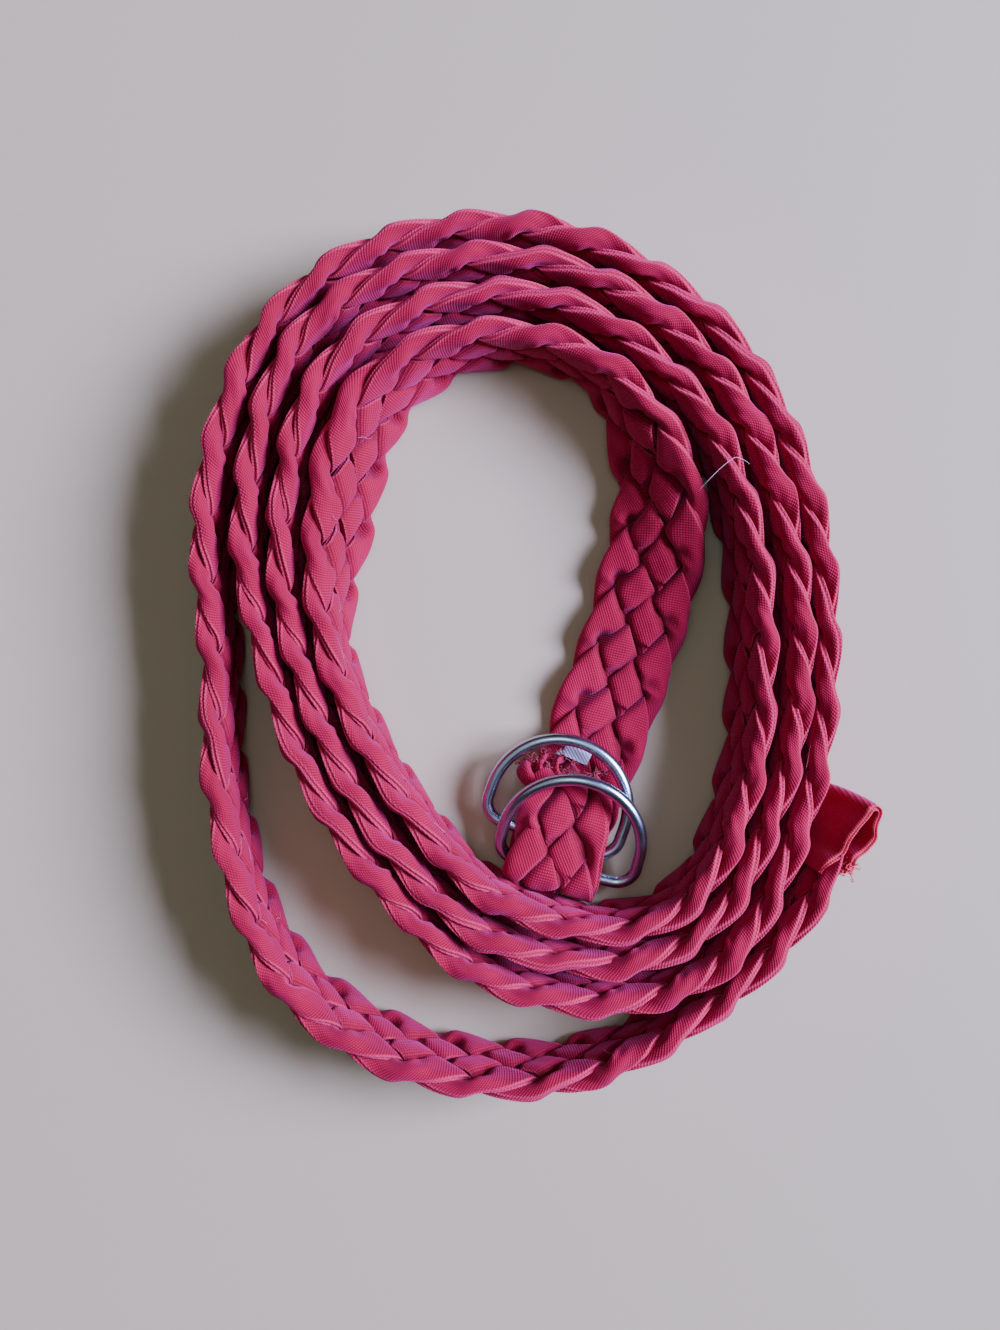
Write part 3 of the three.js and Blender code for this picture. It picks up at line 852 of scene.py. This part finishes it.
def tab_rings():
    """Rings of the cloth end and the mark of its folds: the folded section, its open side up.

    The surface is moved along its own face by soft random folds that run up the strip and by
    fine wrinkles that cross it. Its upper edge rises and falls, its foot is drawn in and back at
    the tip, and its raw end slants.
    """
    course = tab_course()
    seed = SEEDS["tab"]
    along = np.arange(0, course.length, TAB["step"])
    middle, forward, across, face, width, thick = course.at(along)
    share, height, ply = folded_section()
    open_side = np.clip(-share, 0, 1)
    low = 0.5 + 0.5 * share
    start = ease(along / TAB_START["reach"])
    edge = TAB_EDGE["high"] * wander(along, TAB_EDGE["every"], seed)
    edge = edge - TAB_START["lower"] * (1 - start)
    u = -share * (width / 2)[:, None] + (edge[:, None] - TAB_EDGE["lower"]) * open_side
    thinned = TAB_START["thin"] + (1 - TAB_START["thin"]) * start
    h = height * (thick / 2 * thinned)[:, None]
    lips = TAB_LIPS["wide"] + TAB_LIPS["varies"] * wander(along, TAB_LIPS["every"], seed + 1)
    h = h + ply * lips[:, None] * open_side**3
    folds = wander(along, TAB_FOLDS["upper"], seed + 2)[:, None] * (1 - low)
    folds = folds + wander(along, TAB_FOLDS["lower"], seed + 3)[:, None] * low
    wrinkles = np.cos(TAB_WRINKLES["across"] * share + TAB_WRINKLES["along"] * along[:, None])
    wrinkles = wander(along, TAB_WRINKLES["every"], seed + 4)[:, None] * wrinkles
    h = h + TAB_FOLDS["high"] * folds + TAB_WRINKLES["high"] * wrinkles
    rings = swept(middle, across, face, u, h)
    inwards = heading(TAB["end"] + 180)
    back = -heading(TAB["end"] + 90)
    tip = along[np.argmin(middle @ back)]
    drawn_in = TAB_TIP["in"] * inwards + TAB_TIP["back"] * back
    near_foot = low**1.6 * swell(along - tip, TAB_TIP["reach"])[:, None]
    rings = rings + near_foot[..., None] * drawn_in
    slant = TAB_SLANT["by"] * ease(1 - (course.length - along) / TAB_SLANT["reach"])
    rings = moved(rings, slant[:, None] * share, forward)
    rings[..., 2] = np.maximum(rings[..., 2], FLOOR_GAP)
    # The mark of its folded edges, painted paler as rubbed wear and a painted highlight
    return rings, worn_and_highlit_edges(share, 0.10) * np.ones_like(h)


def ring_outline(count):
    """Points of a D-ring's wire in its own plane, evenly apart, and the way out at each.

    Half of it is a straight bar, a quarter turn at the corner, a straight side and a quarter
    turn of the round end. The other half is its mirror image.
    """
    turn = np.linspace(0, math.pi / 2, 40)
    bar = RING_HALF_WIDTH - RING_CORNER
    corner = [bar + RING_CORNER * np.sin(turn), RING_CORNER * (1 - np.cos(turn))]
    top = RING_REACH - RING_HALF_WIDTH
    crown = [RING_HALF_WIDTH * np.cos(turn), top + RING_HALF_WIDTH * np.sin(turn)]
    half = np.concatenate([[[0.0, 0.0]], np.transpose(corner), np.transpose(crown)])
    whole = np.concatenate([half, half[-2::-1] * (-1, 1)])
    along = distances(whole)
    points = read_off(np.arange(count) * along[-1] / count, along, whole)
    travel = unit(np.roll(points, -1, axis=0) - np.roll(points, 1, axis=0))
    return points, np.stack([travel[:, 1], -travel[:, 0]], axis=-1)


def wire_rings(ring, wire, count=220, sides=16):
    """Circles of the wire's thickness along a D-ring that stands tilted on its bar."""
    outline, out = ring_outline(count)
    along = heading(ring["turn"])
    tilt = math.radians(ring["tilt"])
    rise = heading(ring["turn"] + 90) * math.cos(tilt) + np.array([0, 0, math.sin(tilt)])
    normal = np.cross(along, rise)
    middle = np.array(ring["seat"]) + outline[:, :1] * along + outline[:, 1:] * rise
    sideways = out[:, :1] * along + out[:, 1:] * rise
    turn = 2 * math.pi * np.arange(sides) / sides
    circle = np.cos(turn)[:, None] * sideways[:, None] + np.sin(turn)[:, None] * normal
    return middle[:, None] + wire / 2 * circle


def tape_rings(rows=30, columns=24):
    """The scrap of tape: a flat rounded section carried along a line that bows up slightly.

    The section is a superellipse with a wave across it, and its outer end is ragged.
    """
    t = np.linspace(-0.5, 0.5, rows)
    onward = heading(STUB["turn"])
    aside = heading(STUB["turn"] + 90)
    middle = np.array([STUB["x"], STUB["y"], 0]) + t[:, None] * STUB["length"] * onward
    middle[:, 2] = STUB["top"] - STUB["thick"] / 2 - STUB["bow"] * (2 * t) ** 2
    turn = 2 * math.pi * (np.arange(columns) + 0.5) / columns
    wide = signed_power(np.cos(turn), 0.3) * STUB["width"] / 2
    thick = signed_power(np.sin(turn), 0.5) * STUB["thick"] / 2 * STUB["limp"]
    random = np.random.RandomState(SEEDS["ragged"])
    ragged = STUB["ragged"] * random.uniform(-1, 1, columns) * (wide / wide.max())
    rings = middle[:, None] + wide[:, None] * aside
    rings[..., 2] += thick + STUB["wave"] * np.sin(2.2 * wide)
    rings[0] += ragged[:, None] * onward
    return rings


def raw_fold_rings(table, step=0.15, rows=60):
    """Rings of a small crumpled fold of thin cloth along a smooth line through a table."""
    k = np.linspace(0, len(table) - 1, rows)
    places, ways, widths, thicks = zip(*table)
    sizes = smooth(widths, k), smooth(thicks, k)
    line = np.column_stack([smooth_rows(places, k), unit(smooth_rows(ways, k)), *sizes])
    course = Course(line, step)
    along = np.arange(0, course.length, step)
    middle, _, across, face, width, thick = course.at(along)
    share, height, _ = folded_section()
    u = share * (width / 2)[:, None]
    crumple = CRUMPLE["high"] * wander(along, CRUMPLE["every"], int(places[0][0] * 10))
    h = height * (thick / 2)[:, None] + crumple[:, None] * share
    return swept(middle, across, face, u, h)


def fray_lines(starts, way, fray):
    """Short curly threads from the starts: each aims along the way plus a random stray."""
    aiming, curling = fray["seeds"]
    random = np.random.RandomState(aiming)
    aims = way + random.uniform(-1, 1, (len(starts), 3)) * fray["stray"]
    lengths = random.uniform(*fray["lengths"], len(starts))
    return curly_lines(starts, aims, lengths, fray["curl"], curling)


def lint_lines():
    """Stray fibres on the belt's faces: curly lines less their height over the face."""
    count = LINT["count"]
    random = np.random.RandomState(SEEDS["lint"])
    start = random.uniform(0, BELT.length - LINT["short_of_end"], count)
    middle, forward, across, face, width, thick = BELT.at(start)
    sideways = random.uniform(*LINT["sideways"], count) * width
    lift = thick / 2 * LINT["over"] + LINT["lift"]
    spot = middle + across * sideways[:, None] + face * lift[:, None]
    turn = random.uniform(0, 2 * math.pi, count)
    aims = forward * np.cos(turn)[:, None] + across * np.sin(turn)[:, None]
    lengths = random.uniform(*LINT["lengths"], count)
    lines = curly_lines(spot, aims, lengths, LINT["curl"], SEEDS["lint"] + 1, places=20)
    off = np.einsum("ijk,ik->ij", lines - spot[:, None], face)
    return moved(lines, -off, face)


# Materials


def add(tree, kind, inputs=None, **settings):
    """Adds a node with its settings. inputs maps its sockets to values, outputs or nodes.

    A node stands for its first output, and a colour of three numbers is made opaque.
    """
    node = tree.nodes.new(kind)
    for name, value in settings.items():
        setattr(node, name, value)
    for key, value in (inputs or {}).items():
        if isinstance(value, bpy.types.Node):
            value = value.outputs[0]
        if isinstance(value, bpy.types.NodeSocket):
            tree.links.new(value, node.inputs[key])
        else:
            opaque = node.inputs[key].type == "RGBA"
            node.inputs[key].default_value = (*value, 1) if opaque else value
    return node


def new_material(name):
    """An empty material and its node tree."""
    material = bpy.data.materials.new(name)
    material.use_nodes = True
    material.node_tree.nodes.clear()
    return material, material.node_tree


# A wave texture's bands repeat every 2 pi / 20 of a unit at scale 1
WAVE = 2 * math.pi / 20

# How a Mix node blends two colours, and how it multiplies them
MIXED = {"data_type": "RGBA"}
TINTED = {"data_type": "RGBA", "blend_type": "MULTIPLY"}


def woven_cotton(name, colour, deep, wear_and_highlight, spacing, bias, depth):
    """Plain-woven cotton, washed soft: matt, with a fine dotted lattice and a pink nap.

    Threads cross on the bias, 0.5 mm apart, a little coarser than the real ones so that the
    photograph's speckle shows. The colour is deeper in worn-in patches, darker as painted shade
    where a strand is sunk between its neighbours, and pale along the folded edges, partly as
    rubbed wear and partly as a painted highlight. The nap gives a pink bloom at a low angle.
    """
    material, tree = new_material(name)
    place = add(tree, "ShaderNodeTexCoord").outputs["Object"]
    uv = add(tree, "ShaderNodeUVMap", uv_map="weave")
    turned = add(tree, "ShaderNodeMapping", {"Vector": uv, "Rotation": (0, 0, math.radians(bias))})
    threads = {"Vector": turned, "Scale": WAVE / spacing, "Distortion": 0.6, "Detail": 1.0,
               "Detail Scale": 0.4}
    warp = add(tree, "ShaderNodeTexWave", threads, bands_direction="X").outputs["Fac"]
    weft = add(tree, "ShaderNodeTexWave", threads, bands_direction="Y").outputs["Fac"]
    crossed = add(tree, "ShaderNodeMath", {0: warp, 1: weft}, operation="MULTIPLY")
    ribs = add(tree, "ShaderNodeMath", {0: warp, 1: 0.45, 2: crossed}, operation="MULTIPLY_ADD")
    fade = add(tree, "ShaderNodeTexNoise", {"Vector": place, "Scale": 55.0, "Detail": 3.0})
    body = add(tree, "ShaderNodeMix", {0: fade, 6: linear(deep), 7: colour}, **MIXED)
    gap = add(tree, "ShaderNodeMapRange", {"Value": ribs, "From Max": 1.2, "To Min": 1 - depth,
                                           "To Max": 1 + depth / 3})
    woven = add(tree, "ShaderNodeMix", {0: 1.0, 6: body.outputs[2], 7: gap}, **TINTED)
    # Folded edges painted paler: partly rubbed wear, partly a painted highlight
    fold = add(tree, "ShaderNodeAttribute", attribute_name="fold").outputs["Fac"]
    wear_and_highlight_share = add(tree, "ShaderNodeMath", {0: fold, 1: EDGE_WEAR_AND_HIGHLIGHT_SHARE}, operation="MULTIPLY")
    pale = add(tree, "ShaderNodeMix", {0: wear_and_highlight_share, 6: woven.outputs[2], 7: linear(wear_and_highlight)}, **MIXED)
    # Painted shade: the colour is darkened towards the shade tone where a strand is sunk
    sunk = add(tree, "ShaderNodeAttribute", attribute_name="sunk").outputs["Fac"]
    shade_share = add(tree, "ShaderNodeMath", {0: sunk, 1: PAINTED_SHADE_SHARE}, operation="MULTIPLY")
    shade_painted = add(tree, "ShaderNodeMix", {0: shade_share, 6: pale.outputs[2], 7: linear(PAINTED_SHADE_TONE)},
               **TINTED)
    crease = add(tree, "ShaderNodeTexNoise", {"Vector": place, "Scale": 420.0, "Detail": 2.0})
    soft = add(tree, "ShaderNodeBump", {"Height": crease, "Strength": 0.25, "Distance": 0.0004})
    bump = add(tree, "ShaderNodeBump", {"Height": ribs, "Strength": 0.6,
                                        "Distance": 0.0003 * depth, "Normal": soft})
    cloth = add(tree, "ShaderNodeBsdfPrincipled", {
        "Base Color": shade_painted.outputs[2], "Roughness": 0.85, "Sheen Weight": 0.42,
        "Sheen Roughness": 0.5, "Sheen Tint": (1.0, 0.13, 0.46),
        "Specular IOR Level": 0.25, "Normal": bump})
    add(tree, "ShaderNodeOutputMaterial", {"Surface": cloth})
    return material


def cotton_thread(name, code):
    """Loose cotton yarn, twisted: matt, a little paler than the cloth, with a fine fuzz."""
    material, tree = new_material(name)
    place = add(tree, "ShaderNodeTexCoord").outputs["Object"]
    twist = add(tree, "ShaderNodeTexNoise", {"Vector": place, "Scale": 2500.0, "Detail": 2.0})
    tone = add(tree, "ShaderNodeMapRange", {"Value": twist, "To Min": 0.7, "To Max": 1.25})
    body = add(tree, "ShaderNodeMix", {0: 1.0, 6: linear(code), 7: tone}, **TINTED)
    fuzz = add(tree, "ShaderNodeBump", {"Height": twist, "Strength": 0.4, "Distance": 0.0001})
    yarn = add(tree, "ShaderNodeBsdfPrincipled", {
        "Base Color": body.outputs[2], "Roughness": 0.8, "Sheen Weight": 0.2, "Normal": fuzz})
    add(tree, "ShaderNodeOutputMaterial", {"Surface": yarn})
    return material


def twill_tape(name, colour):
    """Blank polyester tape, twill woven: white, faintly glossy, with diagonal ribs of 0.55 mm.

    The ribs are coarser than the real ones, so that the photograph's speckle shows.
    """
    material, tree = new_material(name)
    place = add(tree, "ShaderNodeTexCoord").outputs["Object"]
    uv = add(tree, "ShaderNodeUVMap", uv_map="weave")
    turned = add(tree, "ShaderNodeMapping", {"Vector": uv, "Rotation": (0, 0, math.radians(52))})
    ribs = add(tree, "ShaderNodeTexWave", {"Vector": turned, "Scale": WAVE / 0.55,
                                           "Distortion": 0.8, "Detail": 1.0}).outputs["Fac"]
    cast = add(tree, "ShaderNodeTexNoise", {"Vector": place, "Scale": 180.0})
    body = add(tree, "ShaderNodeMix", {0: ribs, 6: linear("#A698D6"), 7: colour}, **MIXED)
    tone = add(tree, "ShaderNodeMapRange", {"Value": cast, "To Min": 0.85, "To Max": 1.2})
    shaded = add(tree, "ShaderNodeMix", {0: 1.0, 6: body.outputs[2], 7: tone}, **TINTED)
    bump = add(tree, "ShaderNodeBump", {"Height": ribs, "Strength": 0.5, "Distance": 0.0001})
    tape = add(tree, "ShaderNodeBsdfPrincipled", {
        "Base Color": shaded.outputs[2], "Roughness": 0.55, "Sheen Weight": 0.2, "Normal": bump})
    add(tree, "ShaderNodeOutputMaterial", {"Surface": tape})
    return material


def bright_nickel(name, colour):
    """Steel wire with a bright nickel plate: mirror-like, with fine rub marks and shallow dents."""
    material, tree = new_material(name)
    place = add(tree, "ShaderNodeTexCoord").outputs["Object"]
    haze = add(tree, "ShaderNodeTexNoise", {"Vector": place, "Scale": 350.0, "Detail": 4.0})
    rough = add(tree, "ShaderNodeMapRange", {"Value": haze, "To Min": 0.16, "To Max": 0.32})
    dent = add(tree, "ShaderNodeBump", {"Height": haze, "Strength": 0.12, "Distance": 0.0002})
    metal = add(tree, "ShaderNodeBsdfPrincipled", {
        "Base Color": colour, "Metallic": 1.0, "Roughness": rough, "Normal": dent})
    add(tree, "ShaderNodeOutputMaterial", {"Surface": metal})
    return material


def painted_board(name, colour):
    """Smooth painted board for the floor: one plain pale colour, and matt."""
    material, tree = new_material(name)
    paint = add(tree, "ShaderNodeBsdfPrincipled", {"Base Color": colour, "Roughness": 0.6})
    add(tree, "ShaderNodeOutputMaterial", {"Surface": paint})
    return material


# Settings, operators and the panel


def colour_property(name, description, code):
    """A colour setting whose default is an sRGB hex colour."""
    return bpy.props.FloatVectorProperty(name=name, description=description, subtype="COLOR",
                                         size=3, min=0, max=1, default=linear(code))


class BraidSettings(bpy.types.PropertyGroup):
    """Sizes and colours of the braided cloth"""

    strand_width: bpy.props.FloatProperty(
        name="Strand width", description="Width of a folded strip", default=0.0071, unit="LENGTH")
    strand_thickness: bpy.props.FloatProperty(
        name="Strand thickness", description="Thickness of a folded strip", default=0.0025,
        unit="LENGTH")
    gather: bpy.props.FloatProperty(
        name="Gather", description="Share of its width that a strip loses as it turns at an edge",
        default=0.36, subtype="FACTOR", min=0, max=0.6)
    pucker: bpy.props.FloatProperty(
        name="Pucker", description="Depth of the pocket inside each turn", default=0.0022,
        unit="LENGTH")
    thread_spacing: bpy.props.FloatProperty(
        name="Thread spacing", description="Distance between the threads of the cloth",
        default=0.0005, unit="LENGTH")
    colour: colour_property("Colour", "Colour of the strips", "#C4053E")
    # The folded end is the strips' cloth; its deeper, redder colour is in part painted shade
    end_colour: colour_property("End colour", "Colour of the folded cloth end", "#B4081E")


class RingSettings(bpy.types.PropertyGroup):
    """Sizes and colours of the rings and the scrap of tape"""

    wire: bpy.props.FloatProperty(
        name="Wire", description="Thickness of the D-rings' wire", default=0.0024, unit="LENGTH")
    nickel: colour_property("Nickel", "Colour of the rings' bright plate", "#BECCE0")
    tape: colour_property("Tape", "Colour of the blank tape", "#FFFFFF")


class StageSettings(bpy.types.PropertyGroup):
    """Light and floor"""

    window_power: bpy.props.FloatProperty(
        name="Window light", description="Power of the soft cool light from the right",
        default=385.0, unit="POWER")
    ceiling_power: bpy.props.FloatProperty(
        name="Ceiling light", description="Power of the weak wide light from above",
        default=1.4, unit="POWER")
    overhead_power: bpy.props.FloatProperty(
        name="Overhead light", description="Power of the small cool light that the rings reflect",
        default=1.0, unit="POWER")
    surround: bpy.props.FloatProperty(
        name="Surround", description="Strength of the even light from all around", default=0.03)
    floor: colour_property("Floor", "Colour of the floor", "#BBA684")


class BeltOperator:
    """What the operators share: undo, and a piece's body and replaced nodes"""

    bl_options = {"REGISTER", "UNDO"}

    def settle(self, piece, body, slot, *nodes):
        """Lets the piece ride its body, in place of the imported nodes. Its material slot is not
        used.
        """
        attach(piece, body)
        if nodes:
            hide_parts(*nodes)


def braid_cloth(braid):
    """The cloth of the strands and of the small folds at the raw end."""
    # Its folded edges are painted paler, as rubbed wear and a painted highlight
    return woven_cotton("woven_cotton_raspberry", braid.colour, deep="#98021A", wear_and_highlight="#FF5070",
                        spacing=braid.thread_spacing / MM, bias=28, depth=0.48)


class BELT_OT_stage(BeltOperator, bpy.types.Operator):
    """Sets up the floor, the lights, the surround and the camera straight above"""

    bl_idname = "belt.stage"
    bl_label = "Stage"

    def execute(self, context):
        stage = context.scene.belt_stage
        camera = bpy.data.cameras.new("camera")
        camera.sensor_fit = "VERTICAL"
        camera.sensor_height = SENSOR
        camera.lens = SENSOR * CAMERA_HEIGHT / FRAME_HIGH
        camera.clip_start = 0.01
        eye = bpy.data.objects.new("camera", camera)
        eye.location = ((np.array([*FRAME_MIDDLE, CAMERA_HEIGHT]) + SHIFT) * MM).tolist()
        context.scene.collection.objects.link(eye)
        context.scene.camera = eye
        bpy.ops.mesh.primitive_plane_add(size=FLOOR_SIZE, location=(0, 0, 0))
        floor = context.object
        floor.name = "floor"
        floor.data.materials.append(painted_board("painted_board", stage.floor))
        for name, light in LIGHTS.items():
            self.light(context, name, light, getattr(stage, f"{name}_power"))
        world = bpy.data.worlds.new("studio")
        world.use_nodes = True
        surround = world.node_tree.nodes["Background"]
        surround.inputs["Color"].default_value = (*linear(SURROUND_COLOUR), 1)
        surround.inputs["Strength"].default_value = stage.surround
        context.scene.world = world
        return {"FINISHED"}

    def light(self, context, name, light, power):
        """A square soft light that looks at the middle of the belt."""
        lamp = bpy.data.lights.new(name, "AREA")
        lamp.size = light["size"]
        lamp.energy = power
        lamp.color = linear(light["colour"])
        holder = bpy.data.objects.new(name, lamp)
        holder.location = light["place"]
        holder.rotation_euler = (-Vector(light["place"])).to_track_quat("-Z", "Y").to_euler()
        context.scene.collection.objects.link(holder)


class BELT_OT_braid(BeltOperator, bpy.types.Operator):
    """Makes the five folded strands of the braid"""

    bl_idname = "belt.braid"
    bl_label = "Braid"

    def execute(self, context):
        braid = context.scene.belt_braid
        cloth = braid_cloth(braid)
        for number in range(STRANDS):
            rings, marks = strand_rings(number, braid)
            strand = tube(f"strand_{number + 1}", rings, cloth, marks)
            self.settle(strand, "belt", "braid_cloth", "braided_band")
        return {"FINISHED"}


class BELT_OT_cloth_end(BeltOperator, bpy.types.Operator):
    """Makes the folded cloth end with its frayed raw edge"""

    bl_idname = "belt.cloth_end"
    bl_label = "Cloth end"

    def execute(self, context):
        braid = context.scene.belt_braid
        # The end's folded edges are painted paler, as rubbed wear and a painted highlight
        cloth = woven_cotton("woven_cotton_crimson", braid.end_colour, deep="#A80A20",
                             wear_and_highlight="#FF5A6C", spacing=braid.thread_spacing / MM, bias=12,
                             depth=0.36)
        rings, fold = tab_rings()
        end = tube("cloth_end", rings, cloth, {"fold": fold})
        self.settle(end, "belt", "tab_cloth", "end_tab")
        starts = edge_spots(rings[-1], END_FRAY["count"], SEEDS["end_spots"])
        lines = fray_lines(starts, END_FRAY_WAY, END_FRAY)
        lines[..., 2] = np.clip(lines[..., 2], *END_FRAY_HEIGHTS)
        yarn = cotton_thread("cotton_thread_pink", "#DC3446")
        fray = thread_piece("cloth_end_fray", lines, END_FRAY["radius"], yarn)
        self.settle(fray, "belt", "tab_cloth")
        return {"FINISHED"}


class BELT_OT_rings(BeltOperator, bpy.types.Operator):
    """Makes the two D-rings as smooth bent wire"""

    bl_idname = "belt.rings"
    bl_label = "D-rings"

    def execute(self, context):
        settings = context.scene.belt_rings
        metal = bright_nickel("nickel_plated_wire", settings.nickel)
        for ring in (RING_OVER, RING_UNDER):
            rings = wire_rings(ring, settings.wire / MM)
            wire = tube(f"{ring['node']}_wire", rings, metal, loop=True)
            self.settle(wire, ring["body"], "ring_steel", ring["node"])
        return {"FINISHED"}


class BELT_OT_tape(BeltOperator, bpy.types.Operator):
    """Makes the blank scrap of tape with its frayed end"""

    bl_idname = "belt.tape"
    bl_label = "Tape scrap"

    def execute(self, context):
        white = context.scene.belt_rings.tape
        rings = tape_rings()
        tape = tube("tape_scrap", rings, twill_tape("twill_tape_white", white))
        self.settle(tape, "belt", "tape", "label_stub")
        starts = edge_spots(rings[0], TAPE_FRAY["count"], SEEDS["tape_spots"])
        lines = fray_lines(starts, -heading(STUB["turn"]), TAPE_FRAY)
        yarn = cotton_thread("tape_thread_white", "#F2ECF6")
        fray = thread_piece("tape_fray", lines, TAPE_FRAY["radius"], yarn)
        self.settle(fray, "belt", "tape")
        return {"FINISHED"}


class BELT_OT_raw_end(BeltOperator, bpy.types.Operator):
    """Makes the crumpled folds, the frayed threads of the raw end and the stray fibres"""

    bl_idname = "belt.raw_end"
    bl_label = "Raw end and threads"

    def execute(self, context):
        braid = context.scene.belt_braid
        cloth = braid_cloth(braid)
        ends = []
        for number, table in enumerate(RAW_FOLDS):
            rings = raw_fold_rings(table)
            fold = tube(f"raw_fold_{number + 1}", rings, cloth)
            self.settle(fold, "belt", "braid_cloth")
            ends.append(edge_spots(rings[-1], RAW_FRAY["count"], SEEDS["fold_spots"] + number))
        for number in range(STRANDS):
            ring = strand_rings(number, braid)[0][-1]
            ends.append(edge_spots(ring, RAW_FRAY["count"], SEEDS["strand_spots"] + number))
        long = smooth_rows(LONG_FIBRE, np.linspace(0, len(LONG_FIBRE) - 1, 40))[None]
        threads = (
            # The raw end's threads are coloured darker than the cloth they fray from: painted shade
            ("raw_end_fray", fray_lines(np.concatenate(ends), RAW_FRAY_WAY, RAW_FRAY),
             RAW_FRAY["radius"], cotton_thread("cotton_thread_red", "#96102A")),
            ("stray_fibres", lint_lines(), LINT["radius"], cotton_thread("fibre_pink", "#D0708C")),
            ("long_fibre", long, LONG_FIBRE_RADIUS, cotton_thread("fibre_pale", "#E9B8C6")),
        )
        for thread in threads:
            self.settle(thread_piece(*thread), "belt", "braid_cloth")
        return {"FINISHED"}


class BELT_PT_panel(bpy.types.Panel):
    """Lists the settings and the steps in the order in which they run"""

    bl_idname = "BELT_PT_panel"
    bl_label = "Braided cloth belt"
    bl_space_type = "VIEW_3D"
    bl_region_type = "UI"
    bl_category = "Belt"

    def draw(self, context):
        for group in GROUPS:
            settings = getattr(context.scene, group)
            box = self.layout.box()
            box.label(text=group.removeprefix("belt_").capitalize())
            for name in type(settings).__annotations__:
                box.prop(settings, name)
        for operator in OPERATORS:
            self.layout.operator(operator.bl_idname)


GROUPS = {"belt_braid": BraidSettings, "belt_rings": RingSettings, "belt_stage": StageSettings}
OPERATORS = (BELT_OT_stage, BELT_OT_braid, BELT_OT_cloth_end, BELT_OT_rings, BELT_OT_tape,
             BELT_OT_raw_end)


def register():
    """Registers the classes and gives the scene its settings."""
    for each in (*GROUPS.values(), *OPERATORS, BELT_PT_panel):
        bpy.utils.register_class(each)
    for name, group in GROUPS.items():
        setattr(bpy.types.Scene, name, bpy.props.PointerProperty(type=group))


def unregister():
    """Takes the settings and the classes away again."""
    for name in GROUPS:
        delattr(bpy.types.Scene, name)
    for each in (BELT_PT_panel, *reversed(OPERATORS), *reversed(GROUPS.values())):
        bpy.utils.unregister_class(each)


def main():
    """Runs the operators in order."""
    register()
    bpy.ops.belt.stage()
    bpy.ops.belt.braid()
    bpy.ops.belt.cloth_end()
    bpy.ops.belt.rings()
    bpy.ops.belt.tape()
    bpy.ops.belt.raw_end()


if __name__ == "__main__":
    main()
